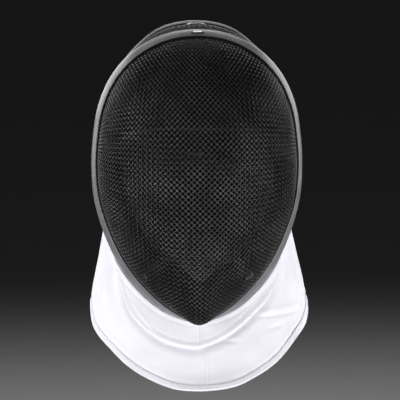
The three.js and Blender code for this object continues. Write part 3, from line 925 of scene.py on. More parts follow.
@dataclass(frozen=True)
class Thread:
    """Twisted sewing thread."""

    name: str
    dark: Colour
    light: Colour
    sheen: float = 0.3

    def make(self) -> bpy.types.Material:
        """Builds the material: a fine noise stands for the twist.

        Returns:
            The material.
        """
        nodes = Nodes(self.name)
        nodes.constants(Sheen_Weight=self.sheen, Roughness=0.7)
        twist = nodes.noise(nodes.object_place(), 2600.0, 2.0)
        nodes.colour(nodes.mix(nodes.spread(twist, 0.35, 0.65, 0.0, 1.0), self.dark, self.light))
        nodes.relief(twist, 0.05, 0.7)
        return nodes.material


@dataclass(frozen=True)
class Floor:
    """Plain pale floor with a barely visible mottling."""

    name: str = "studio_floor"
    colour: Colour = (0.62, 0.62, 0.63)

    def make(self) -> bpy.types.Material:
        """Builds the material.

        Returns:
            The material.
        """
        nodes = Nodes(self.name)
        nodes.constants(Roughness=0.9)
        mottle = nodes.noise(nodes.object_place(), 6.0, 3.0)
        darker = tuple(c * 0.96 for c in self.colour)
        nodes.colour(nodes.mix(nodes.spread(mottle, 0.3, 0.7, 0.0, 1.0), darker, self.colour))
        return nodes.material


# Woven wire.


class Lie(Enum):
    """Which of two sets of wires a wire belongs to: the one that starts over, or under."""

    OVER = 1
    UNDER = -1


@dataclass
class WireCloth:
    """Two sets of crossed wires laid on a grid of crossings.

    Sizes are in millimetres. depth_share is how far a wire rides over another, as a share of its
    radius, and middle is the depth of the wires' level inside the mesh's outer face."""

    radius: float = 0.56
    sides: int = 6
    depth_share: float = 0.97
    middle: float = 1.0

    def piece(self, name: str, crossings: Array, out: Array, inside: Array,
              lie: Lie) -> bpy.types.Object:
        """Builds one set of wires.

        The wires lie in the middle of the mesh's wall. A wire's middle line goes through its
        crossings, half a wire's gauge over that level at one and under it at the next, and
        through it halfway between. A ring square to the line stands at each crossing and each
        halfway point.

        Args:
            name: The piece's name.
            crossings: Grid of crossings, wires along the first axis.
            out: Outward direction at each crossing.
            inside: Which crossings are in use.
            lie: Whether the wires start over or under.

        Returns:
            The piece, one closed tube for each wire.
        """
        rows, wires = inside.shape
        even = (np.arange(rows)[:, None] + np.arange(wires)[None]) % 2 == 0
        sign = np.where(even, 1.0, -1.0) * lie.value
        crossings = crossings - out * self.middle
        centre = crossings + out * (sign * self.radius * self.depth_share)[..., None]
        joined = inside[1:] & inside[:-1]
        has_next = np.concatenate([joined, np.zeros((1, wires), bool)])
        has_last = np.concatenate([np.zeros((1, wires), bool), joined])
        used = inside & (has_next | has_last)

        halfway = (crossings[1:] + crossings[:-1]) / 2
        halfway_out = unit(out[1:] + out[:-1])
        halfway_run = centre[1:] - centre[:-1]
        ahead = np.where(has_next[..., None], np.roll(crossings, -1, axis=0), crossings)
        behind = np.where(has_last[..., None], np.roll(crossings, 1, axis=0), crossings)
        at_node = self.rings(centre, ahead - behind, out)
        at_half = self.rings(halfway, halfway_run, halfway_out)

        node_number = np.where(used, np.cumsum(used.ravel()).reshape(used.shape) - 1, -1)
        half_number = np.cumsum(joined.ravel()).reshape(joined.shape) - 1 + int(used.sum())
        points = np.concatenate([at_node[used].reshape(-1, 3), at_half[joined].reshape(-1, 3)])
        tint = self.heights(sign, used, joined)
        first, middle, last = node_number[:-1][joined], half_number[joined], node_number[1:][joined]
        quads = np.concatenate([self.band(first, middle), self.band(middle, last)])
        ring = np.arange(self.sides)
        starts = node_number[used & ~has_last][:, None] * self.sides + ring[::-1]
        ends = node_number[used & ~has_next][:, None] * self.sides + ring
        return mesh_piece(name, points, [quads, np.concatenate([starts, ends])], tint=tint)

    def rings(self, centre: Array, run: Array, out: Array) -> Array:
        """Rings of points round wire centres, square to the wire's run."""
        along = unit(run)
        up = unit(out - along * np.sum(out * along, axis=-1, keepdims=True))
        side = np.cross(along, up)
        turn = np.linspace(0.0, 2 * math.pi, self.sides, endpoint=False)
        return (centre[..., None, :] + self.radius * (np.cos(turn)[:, None] * up[..., None, :]
                                                      + np.sin(turn)[:, None] * side[..., None, :]))

    def band(self, first: Array, last: Array) -> Array:
        """Quads between two rings, for many pairs of rings at once."""
        k = np.arange(self.sides)
        n = (k + 1) % self.sides
        a, b = first[:, None] * self.sides, last[:, None] * self.sides
        return np.stack([a + k, b + k, b + n, a + n], axis=-1).reshape(-1, 4)

    def heights(self, sign: Array, used: Array, joined: Array) -> Array:
        """Height of each ring point above the lowest, as a share: its place on the ring, and
        whether the wire lies over or under there. The wire's finish paints shade and highlight by
        it."""
        turn = np.linspace(0.0, 2 * math.pi, self.sides, endpoint=False)
        top = (np.cos(turn) + 1) / 2
        at_node = (0.25 + 0.25 * sign[used])[:, None] + 0.5 * top[None]
        at_half = np.broadcast_to(0.25 + 0.5 * top[None], (int(joined.sum()), self.sides))
        return np.concatenate([at_node.ravel(), at_half.ravel()])


class WovenMesh:
    """A mesh of two sets of woven wires, laid on a net that each kind of mesh works out.

    Its kinds name their pieces, the solid that these replace and the record's slot."""

    cloth: WireCloth
    name: str
    node: str
    slot: str

    def net(self) -> Tuple[Array, Array, Array]:
        """Grid of crossings, the outward direction at each, and which are on the mesh."""
        raise NotImplementedError

    def build(self) -> List[bpy.types.Object]:
        """Builds both sets of wires.

        Returns:
            The two pieces.
        """
        grid, out, inside = self.net()
        turned = (grid.transpose(1, 0, 2), out.transpose(1, 0, 2), inside.T)
        return [
            self.cloth.piece(f"{self.name}_warp", grid, out, inside, Lie.OVER),
            self.cloth.piece(f"{self.name}_weft", *turned, Lie.UNDER),
        ]

    def dress(self, pieces: Sequence[bpy.types.Object], material: bpy.types.Material) -> None:
        """Gives the wires their finish and lets them stand for the mesh shell."""
        for piece in pieces:
            dress(piece, material, self.slot, self.node)


@dataclass
class FaceWire(WovenMesh):
    """Woven wire of the face mesh: a net of equal meshes laid over the dome."""

    dome: Dome
    pitch: float = 3.72
    cloth: WireCloth = field(default_factory=WireCloth)
    reach: int = 52
    name: str = "face_wire"
    node: str = "front_mesh"
    slot: str = "wire_mesh"

    def axis(self, level: DomeLevel, angle: float) -> Array:
        """Evenly spaced points from the foremost point along one angle, and straight back past
        the rim.

        Args:
            level: The dome's equation.
            angle: Angle seen from the front, from +X towards +Z.

        Returns:
            The points, the foremost one first.
        """
        aim = np.array([[math.cos(angle), 0.0, math.sin(angle)]])
        probe = aim * 50.0 + np.array([0.0, 0.0, self.dome.level])
        station = float(level.look_up(probe, DomeLevel.STATION)[0])
        share = np.sin(np.linspace(math.pi / 2, 0.0, 1500))
        path = self.dome.point(np.full(share.shape, station), share)
        straight = path[-1] + np.outer(np.linspace(0.5, 140.0, 280), [0.0, 1.0, 0.0])
        path = np.concatenate([path, straight])
        run = lengths(path)
        return along_path(np.arange(self.reach + 1) * self.pitch, run, path)

    def quadrant(self, level: DomeLevel, first: Array, second: Array) -> Array:
        """Fills the net between two axes, one diagonal after another.

        Each new crossing lies one pitch from its two neighbours on the last diagonal and on the
        dome. It starts at the fourth corner of their parallelogram and is moved by Newton's
        steps on the three conditions.

        Args:
            level: The dome's equation.
            first: Points along one axis.
            second: Points along the other.

        Returns:
            Grid of crossings.
        """
        n = self.reach + 1
        net = np.full((n, n, 3), np.nan)
        net[:, 0], net[0] = first, second
        for total in range(2, 2 * n - 1):
            i = np.arange(max(1, total - n + 1), min(total, n))
            j = total - i
            a, b, c = net[i - 1, j], net[i, j - 1], net[i - 1, j - 1]
            point = a + b - c
            for _ in range(6):
                slope = level.slope(point)
                size = np.maximum(np.linalg.norm(slope, axis=-1, keepdims=True), 1e-9)
                rows = np.stack([2 * (point - a), 2 * (point - b), slope / size], axis=1)
                miss = np.stack([
                    np.sum((point - a) ** 2, axis=1) - self.pitch**2,
                    np.sum((point - b) ** 2, axis=1) - self.pitch**2,
                    level.value(point) / size[:, 0],
                ], axis=1)
                rows = rows + np.eye(3) * 1e-9
                step = np.linalg.solve(rows, miss[..., None])[..., 0]
                far = np.maximum(np.linalg.norm(step, axis=1, keepdims=True), 1e-9)
                point = point - step * np.minimum(1.0, 1.5 / far)
            net[i, j] = point
        return net

    def net(self) -> Tuple[Array, Array, Array]:
        """Lays the whole net from four axes, at 45 degrees to the upright.

        Returns:
            Grid of crossings, the outward direction at each, and which are inside the rim.
        """
        level = DomeLevel(self.dome)
        axes = [self.axis(level, math.radians(a)) for a in (45.0, 135.0, 225.0, 315.0)]
        n = self.reach
        grid = np.full((2 * n + 1, 2 * n + 1, 3), np.nan)
        grid[n:, n:] = self.quadrant(level, axes[0], axes[1])
        grid[n::-1, n:] = self.quadrant(level, axes[2], axes[1])
        grid[n::-1, n::-1] = self.quadrant(level, axes[2], axes[3])
        grid[n:, n::-1] = self.quadrant(level, axes[0], axes[3])
        sound = np.isfinite(grid).all(axis=-1)
        grid = np.where(sound[..., None], grid, 0.0)
        inside = sound & (level.forward(grid) > 0.004) & (np.abs(level.value(grid)) < 0.02)
        _, out = level.depth(grid)
        out = np.where(sound[..., None], out, np.array([0.0, -1.0, 0.0]))
        return grid, out, inside


@dataclass
class RearWire(WovenMesh):
    """Woven wire over the back of the crown, its wires at 45 degrees to the edging."""

    crown: RearCrown
    pitch: float = 3.72
    cloth: WireCloth = field(default_factory=WireCloth)
    reach: int = 130
    name: str = "rear_wire"
    node: str = "rear_mesh"
    slot: str = "wire_mesh"

    def net(self) -> Tuple[Array, Array, Array]:
        """Lays slanting lines on the unrolled mesh and carries them onto it.

        Distance round is measured along the middle of the mesh, and distance back along each
        straight way from edge to edge.

        Returns:
            Grid of crossings, the outward direction at each, and which are on the mesh.
        """
        table = np.linspace(-self.crown.end, self.crown.end, 1201)
        middle = self.crown.point(table, np.full(table.shape, 0.5))
        run = lengths(middle)
        run = run - run[-1] / 2
        numbers = np.arange(-self.reach, self.reach + 1)
        i, j = np.meshgrid(numbers, numbers, indexing="ij")
        step = self.pitch / math.sqrt(2.0)
        round_, back = (i - j) * step, (i + j) * step
        station = np.interp(round_.ravel(), run, table).reshape(round_.shape)
        ends = [self.crown.point(table, np.full(table.shape, s)) for s in (0.0, 1.0)]
        length = np.interp(station, table, np.linalg.norm(ends[1] - ends[0], axis=1))
        share = back / length + 0.02
        inside = (np.abs(round_) < run[-1] - 1.0) & (share > 0.01) & (share < 0.985)
        share = np.clip(share, 0.0, 1.0)
        grid = self.crown.point(station, share)
        small = 0.004
        across = self.crown.point(station + small, share) - self.crown.point(station - small, share)
        along = self.crown.point(station, share + small) - self.crown.point(station, share - small)
        out = unit(np.cross(along, across))
        up = np.sum(out * self.crown.rim.out(station), axis=-1, keepdims=True)
        return grid, out * np.sign(up), inside


# Edging and metal parts.


@dataclass
class Edging:
    """Tape folded over the rim of the face mesh, and a narrower one on the rear mesh."""

    dome: Dome
    mesh_dome: Dome
    crown: RearCrown
    wall: float = 2.0
    gap: float = 0.3
    thick: float = 5.5
    lining: float = 2.2
    reach: float = 12.0
    fold: float = 5.5
    lip: float = 1.9
    rear_thick: float = 3.7
    rear_lining: float = 1.9
    rear_reach: float = 5.0
    rear_fold: float = 3.5
    slot: str = "edging"

    def section(self, thick: float, lining: float, reach: float, fold: float) -> Array:
        """Section of a folded tape, as pairs of distance out and distance back.

        Args:
            thick: Thickness of the outer leg.
            lining: Thickness of the inner leg.
            reach: How far the outer leg comes forward.
            fold: How far the fold stands behind the mesh's edge.

        Returns:
            The softened ring of pairs, with a third column for the tape's finish: 1 on the fold,
            painted as a highlight, and -1 on the inner edge, painted black as shadow.
        """
        inner = -self.wall - 2 * self.gap
        lift = min(self.lip, thick * 0.3)
        corners = np.array([
            [self.gap, -reach * 0.60], [self.gap, -reach * 0.97], [self.gap + 0.1, -reach],
            [lift, -reach], [lift + 0.4, -reach * 0.985], [thick * 0.70, -reach * 0.62],
            [thick * 0.93, -reach * 0.30], [thick * 1.04, -reach * 0.02],
            [thick * 1.04, fold * 0.55], [thick * 0.5, fold * 1.04], [inner - lining * 0.3, fold],
            [inner - lining, fold * 0.7], [inner - lining, -reach * 0.5], [inner, -reach * 0.62],
            [inner, self.gap], [self.gap, self.gap],
        ])
        ring = rounded_ring(corners, 4, 2)
        # Third column: 1 along the fold, painted as a highlight, and -1 on the lip's inner end,
        # painted black as shadow.
        fold_highlight_share = bell(ring[:, 1] - fold * 0.30, fold * 0.50) * (ring[:, 0] > thick * 0.5)
        cut = (ring[:, 1] < -reach * 0.93) & (ring[:, 0] < lift + 0.15)
        return np.concatenate([ring, (fold_highlight_share - cut)[:, None]], axis=1)

    def face(self) -> bpy.types.Object:
        """Sweeps the wide section round the whole rim.

        The inner side keeps to the mesh, which is drawn in below the ears, and the outer leg is
        thicker there by as much.

        Returns:
            The piece.
        """
        section = self.section(self.thick, self.lining, self.reach, self.fold)
        station = np.linspace(-1.0, 1.0, 361)[:-1]
        stations, back = np.meshgrid(station, section[:, 1], indexing="ij")
        out = np.broadcast_to(section[:, 0], stations.shape)
        inner = self.mesh_dome.at_rim(stations, back, out)
        drawn = self.dome.at_rim(stations, back, out) - inner
        share = np.clip((out - self.lip) / (self.thick - self.lip), 0.0, 1.0)
        points, faces = swept(inner + drawn * share[..., None], closed=True)
        return mesh_piece("face_edging", points, faces, tint=np.tile(section[:, 2], len(station)))

    def rear(self) -> bpy.types.Object:
        """Sweeps the narrow section along the rear mesh's free edge.

        Returns:
            The piece.
        """
        station = np.linspace(-self.crown.end, self.crown.end, 221)
        edge = self.crown.point(station, np.ones(station.shape))
        before = self.crown.point(station, np.full(station.shape, 0.9))
        start = self.crown.point(station, np.zeros(station.shape))
        back = unit(edge - before)
        room = np.linalg.norm(edge - start, axis=1) - self.gap
        narrow = np.minimum(self.rear_reach, room / 2) / self.rear_reach
        section = self.section(self.rear_thick, self.rear_lining, self.rear_reach, self.rear_fold)
        leg, fold = np.minimum(section[:, 1], 0.0), np.maximum(section[:, 1], 0.0)
        away = leg[None] * narrow[:, None] + fold
        out = self.dome.rim.out(station)
        rings = edge[:, None] + back[:, None] * away[..., None]
        points, faces = swept(rings + out[:, None] * section[None, :, :1])
        return mesh_piece("rear_edging", points, faces, tint=np.tile(section[:, 2], len(station)))

    def build(self) -> List[bpy.types.Object]:
        """Builds both edgings.

        Returns:
            The face edging and the rear edging.
        """
        return [self.face(), self.rear()]

    def dress(self, pieces: Sequence[bpy.types.Object]) -> None:
        """Gives the tapes their finish and lets them stand for their solids."""
        wide = EdgingTape("face_edging_tape").make()
        # The rear tape's fold is painted near white as a painted highlight.
        narrow = EdgingTape("rear_edging_tape", fold_highlight=(0.95, 0.95, 0.95)).make()
        for piece, material, node in zip(pieces, (wide, narrow), ("front_trim", "rear_trim")):
            dress(piece, material, self.slot, node)


@dataclass
class MetalFittings:
    """Bright clip on the face edging and the riveted plate that carries the tongue.

    corner is the power of the rounded square that both are, and points the size of its grid."""

    dome: Dome
    crown: RearCrown
    clip_width: float = 11.6
    clip_length: float = 4.4
    clip_thick: float = 1.0
    clip_back: float = -8.0
    clip_out: float = 3.55
    clip_slope: float = 0.24
    plate_width: float = 18.0
    plate_length: float = 8.0
    plate_thick: float = 0.8
    plate_place: float = 0.73
    rivet_apart: float = 10.0
    rivet_radius: float = 1.7
    rivet_high: float = 0.7
    under: float = 0.3
    corner: float = 5.0
    points: int = 21
    slot: str = "bright_steel"

    def pressed(self, place: Callable[[Array, Array, Array], Array], half_u: float, half_v: float,
                thick: float) -> Tuple[Array, List[Array]]:
        """A pressed plate with rounded corners and edges.

        The top rises from 0.12 of the thickness at the edge, as (1 - distance^8)^(1/3) of the
        distance from the middle.

        Args:
            place: Gives points from distances across, along and out.
            half_u: Half the plate's width.
            half_v: Half its length.
            thick: Its thickness.

        Returns:
            Points and faces.
        """
        u, v, far = rounded_square(self.corner, self.points)
        u, v = u * half_u, v * half_v
        high = thick * (0.12 + 0.88 * np.maximum(1 - far**8, 0.0) ** (1 / 3))
        under = np.full(u.shape, self.under)
        return closed_shell(place(u, v, high + under), place(u, v, under))

    def clip(self) -> bpy.types.Object:
        """The clip, on the slope of the edging's outer leg over the forehead, with its tint at 1
        round its edge, which its finish paints dark as the shadow under it."""
        per_station = self.dome.rim.per_station(-0.01, 0.02)

        def place(u: Array, v: Array, out: Array) -> Array:
            """Places from the rim, on a slope that rises with the tape towards its fold."""
            rise = self.clip_out + v * self.clip_slope + out
            return self.dome.at_rim(u / per_station, self.clip_back + v, rise)

        half_u, half_v = self.clip_width / 2, self.clip_length / 2
        points, faces = self.pressed(place, half_u, half_v, self.clip_thick)
        far = rounded_square(self.corner, self.points)[2]
        # Tint 1 round the clip's edge, painted dark as the shadow under it.
        edge_shade_share = np.clip((far - 0.62) / 0.10, 0, 1).ravel()
        return mesh_piece("edging_clip", points, faces, tint=np.tile(edge_shade_share, 2))

    def plate(self) -> bpy.types.Object:
        """The plate on top of the rear mesh, with two round rivet heads in the same piece."""
        one = self.crown.point(np.array([-0.01, 0.01]), np.full(2, self.plate_place))
        per_station = float(np.linalg.norm(one[1] - one[0])) / 0.02
        ends = self.crown.point(np.zeros(2), np.array([0.0, 1.0]))
        per_share = float(np.linalg.norm(ends[1] - ends[0]))

        def place(u: Array, v: Array, out: Array) -> Array:
            """The rear mesh's own points, lifted outwards."""
            station = u / per_station
            lift = self.dome.rim.out(station) * np.asarray(out)[..., None]
            return self.crown.point(station, self.plate_place + v / per_share) + lift

        half_u, half_v = self.plate_width / 2, self.plate_length / 2
        bodies = [self.pressed(place, half_u, half_v, self.plate_thick)]
        turn, rise = np.meshgrid(np.linspace(0, 2 * math.pi, 17)[:-1], np.linspace(0.0, 1.0, 6),
                                 indexing="ij")
        round_ = self.rivet_radius * np.cos(rise * math.pi / 2 * 0.96)
        high = self.under + self.plate_thick * 0.8 + self.rivet_high * np.sin(rise * math.pi / 2)
        for side in (-1.0, 1.0):
            u = side * self.rivet_apart / 2 + round_ * np.cos(turn)
            bodies.append(swept(place(u, round_ * np.sin(turn), high).transpose(1, 0, 2)))
        groups, start = [], 0
        for points, faces in bodies:
            groups += [group + start for group in outward(points, faces)]
            start += len(points)
        return mesh_piece("tongue_mount", np.concatenate([points for points, _ in bodies]), groups)

    def build(self) -> List[bpy.types.Object]:
        """Builds both fittings.

        Returns:
            The clip and the plate.
        """
        return [self.clip(), self.plate()]

    def dress(self, pieces: Sequence[bpy.types.Object]) -> None:
        """Gives the fittings their bright finish."""
        tones = ((0.52, 0.53, 0.55), (0.90, 0.90, 0.92))
        clip = Steel("clip_steel", *tones, roughness=(0.30, 0.42), metallic=0.5, shade_edged=True).make()
        plate = Steel("plate_steel", *tones).make()
        for piece, steel, node in zip(pieces, (clip, plate), ("trim_clip", "tongue_plate")):
            dress(piece, steel, self.slot, node)


# Tongue and strap.


@dataclass
class Tongue:
    """Spring strip behind the head, with two pressed ribs and a rounded end."""

    width: float = 26.0
    thick: float = 1.4
    path: Tuple[Tuple[float, float, float], ...] = (
        (0.0, 38.41, 119.97), (0.0, 57.71, 120.29), (0.0, 84.04, 115.28), (0.0, 91.84, 110.73),
        (0.0, 102.64, 100.98), (0.0, 111.04, 81.48), (0.0, 114.04, 55.48), (0.0, 112.84, 26.88),
        (0.0, 109.24, 0.88), (0.0, 106.24, -14.72),
    )
    slot: str = "spring_steel"

    def line(self, count: int) -> Tuple[Array, Array]:
        """The strip's middle line and the direction away from the head."""
        path = smooth_path(np.array(self.path), count)
        run = unit(np.gradient(path, axis=0))
        return path, np.stack([np.zeros(count), -run[:, 2], run[:, 1]], axis=1)

    def build(self) -> bpy.types.Object:
        """Sweeps a flat section with rounded edges and two pressed ribs.

        The half width is constant and closes as a quarter circle at the end. The rib height is
        two narrow bell curves across the strip.

        Returns:
            The piece.
        """
        count = 150
        path, out = self.line(count)
        share = np.linspace(0.0, 1.0, count)
        past = np.maximum(share - 0.94, 0.0) / 0.0605
        half = self.width / 2 * np.sqrt(np.maximum(1 - past**2, 0.0))
        across = np.concatenate([np.linspace(-1, 1, 25), np.linspace(1, -1, 25)])
        level = np.concatenate([np.full(25, 0.5), np.full(25, -0.5)])
        edge = np.sqrt(np.maximum(1 - np.clip((np.abs(across) - 0.9) / 0.1, 0, 1) ** 2, 0.0))
        rib = 0.55 * bell(np.abs(across) - 0.55, 0.10)
        grown = np.clip((share - 0.10) / 0.05, 0, 1) * np.clip((0.90 - share) / 0.05, 0, 1)
        high = level * self.thick * edge + rib * grown[:, None] * 0.5
        rings = path[:, None] + out[:, None] * high[..., None]
        rings = rings + np.array([1.0, 0.0, 0.0]) * (half[:, None] * across)[..., None]
        return mesh_piece("spring_tongue", *swept(rings))

    def dress(self, piece: bpy.types.Object) -> None:
        """Gives the strip its dark drawn steel."""
        dark = Steel("spring_steel", (0.10, 0.10, 0.105), (0.26, 0.26, 0.27),
                     lines=(900.0, 60.0, 60.0), roughness=(0.24, 0.40))
        dress(piece, dark.make(), self.slot, "tongue")


@dataclass
class BackStrap:
    """Wide elastic round the back of the head, with bound edges and woven ribs."""

    width: float = 48.0
    thick: float = 2.5
    half: float = 87.49
    start: float = 18.7
    end: float = 119.69
    rise: float = 8.0
    ribs: int = 9
    across: Tuple[float, ...] = (1.00, 0.955, 0.92, 0.87, 0.83, 0.75, 0.61, 0.37, 0.00)
    back: Tuple[float, ...] = (0.00, 0.06, 0.14, 0.28, 0.42, 0.61, 0.79, 0.945, 1.00)
    slot: str = "elastic"

    def line(self, count: int) -> Array:
        """The strap's middle line from ear to ear: across, back and rise are shares of its half
        width, its way back and its rise.

        Args:
            count: How many points to return.

        Returns:
            The points.
        """
        across, back = np.array(self.across), np.array(self.back)
        side = np.stack([
            self.half * across,
            self.start + (self.end - self.start) * back,
            -self.rise * (1 - back),
        ], axis=1)
        other = side[-2::-1] * np.array([-1.0, 1.0, 1.0])
        return smooth_path(np.concatenate([side, other]), count)

    def build(self) -> bpy.types.Object:
        """Sweeps the strap's section: flat, with a thicker bound edge above and below.

        Ribs run along the strap as a row of low half sines across its width, and the strap bows
        a little between its ends.

        Returns:
            The piece, with its own cloth coordinates.
        """
        count = 160
        path = self.line(count)
        run = unit(np.gradient(path, axis=0))
        out = unit(np.stack([-run[:, 1], run[:, 0], np.zeros(count)], axis=1))
        away = np.sign(np.sum(out * (path - path.mean(axis=0)), axis=1, keepdims=True))
        out = out * away[count // 2]
        line = np.sin(np.linspace(-math.pi / 2, math.pi / 2, 61))
        edge = np.sqrt(np.maximum(1 - np.clip((np.abs(line) - 0.97) / 0.03, 0, 1) ** 2, 0.0))
        ribs = 0.90 + 0.10 * np.abs(np.sin(line * math.pi * self.ribs))
        half = self.thick / 2 * edge * np.where(np.abs(line) > 0.86, 1 + 0.22 * edge, ribs)
        across = np.concatenate([line, line[-2:0:-1]])
        high = np.concatenate([half, -half[-2:0:-1]])
        run_mm = lengths(path)
        turn = run_mm / run_mm[-1] * math.pi
        bow = 0.8 * np.sin(turn * 5) * np.sin(turn)
        away = high[None] + bow[:, None] * (across[None] ** 2 - 0.4)
        rings = path[:, None] + out[:, None] * away[..., None]
        up = across * self.width / 2
        rings = rings + np.array([0.0, 0.0, 1.0]) * up[None, :, None]
        uv = np.stack(np.broadcast_arrays(run_mm[:, None], up[None]), axis=-1)
        points, faces = swept(rings)
        return mesh_piece("elastic_strap", points, faces, uv=uv.reshape(-1, 2))

    def dress(self, piece: bpy.types.Object) -> None:
        """Gives the strap its black ribbed elastic."""
        elastic = Cloth("black_elastic", Weave.RIBBED, (0.004, 0.004, 0.005), (0.018, 0.018, 0.020),
                        pitch_mm=0.9, depth_mm=0.25, sheen=0.06)
        dress(piece, elastic.make(), self.slot, "back_strap")


# Padded lining.


@dataclass
class Padding:
    """Swells a pad's mesh as cloth over foam, and changes its points."""

    voxel_mm: float = 3.8
    cap_mm: float = 2.2
    pressure: float = 4.0
    mass: float = 0.2
    stiffness: float = 25.0
    bending: float = 1.5
    quality: int = 6
    steps: int = 20

    def swell(self, piece: bpy.types.Object) -> None:
        """Remeshes the pad, lets cloth under pressure fill it, caps how far each point moved and
        keeps the result.

        Args:
            piece: The pad.
        """
        self.keep(piece, "REMESH", mode="VOXEL", voxel_size=self.voxel_mm * MILLIMETRE)
        self.keep(piece, "SMOOTH", factor=0.5, iterations=5)
        start = self.places(piece.data)
        modifier = piece.modifiers.new("swell", "CLOTH")
        settings = modifier.settings
        settings.quality = self.quality
        settings.mass = self.mass
        settings.tension_stiffness = settings.compression_stiffness = self.stiffness
        settings.bending_stiffness = self.bending
        settings.use_pressure = True
        settings.uniform_pressure_force = self.pressure
        settings.effector_weights.gravity = 0.0
        scene = bpy.context.scene
        for step in range(1, self.steps + 1):
            scene.frame_set(step)
        graph = bpy.context.evaluated_depsgraph_get()
        moved = self.places(piece.evaluated_get(graph).data)
        piece.modifiers.remove(modifier)
        scene.frame_set(1)
        shift = moved - start
        shift = shift - shift.mean(axis=0)
        far = np.maximum(np.linalg.norm(shift, axis=1, keepdims=True), 1e-9)
        shift = shift * np.minimum(1.0, self.cap_mm * MILLIMETRE / far)
        self.put(piece.data, start + shift)
        self.keep(piece, "SUBSURF", levels=1, render_levels=1)
        piece.data.polygons.foreach_set("use_smooth", np.ones(len(piece.data.polygons), bool))

    def keep(self, piece: bpy.types.Object, kind: str, **settings: object) -> None:
        """Adds a modifier and keeps its result as the piece's mesh."""
        modifier = piece.modifiers.new("shape", kind)
        for key, value in settings.items():
            setattr(modifier, key, value)
        graph = bpy.context.evaluated_depsgraph_get()
        mesh = bpy.data.meshes.new_from_object(piece.evaluated_get(graph))
        piece.modifiers.remove(modifier)
        old = piece.data
        piece.data = mesh
        bpy.data.meshes.remove(old)

    def places(self, mesh: bpy.types.Mesh) -> Array:
        """The mesh's points, in metres."""
        flat = np.empty(len(mesh.vertices) * 3, np.float32)
        mesh.vertices.foreach_get("co", flat)
        return flat.reshape(-1, 3).astype(float)

    def put(self, mesh: bpy.types.Mesh, places: Array) -> None:
        """Puts points back into the mesh."""
        mesh.vertices.foreach_set("co", places.astype(np.float32).ravel())
        mesh.update()

    def reshape(self, piece: bpy.types.Object, change: Callable[[Array], Array]) -> None:
        """Changes a pad's points by a function of their places in the ear-level frame, and then
        rounds it by one more subdivision, which stays a modifier.

        Args:
            piece: The pad.
            change: Takes points in millimetres and gives their new places.
        """
        points = self.places(piece.data) / MILLIMETRE - SEAT_SHIFT
        self.put(piece.data, to_frame(change(points)))
        modifier = piece.modifiers.new("soften", "SUBSURF")
        modifier.levels = modifier.render_levels = 1


@dataclass(frozen=True)
class PadCut:
    """Where one lining pad lies on the dome and how thick it is."""

    name: str
    node: str
    start: float
    end: float
    thick: float
    reach: Tuple[float, ...]
    channels: Tuple[float, ...]


CHEEK_REACH = (0.68, 0.71, 0.755, 0.795, 0.825, 0.86)


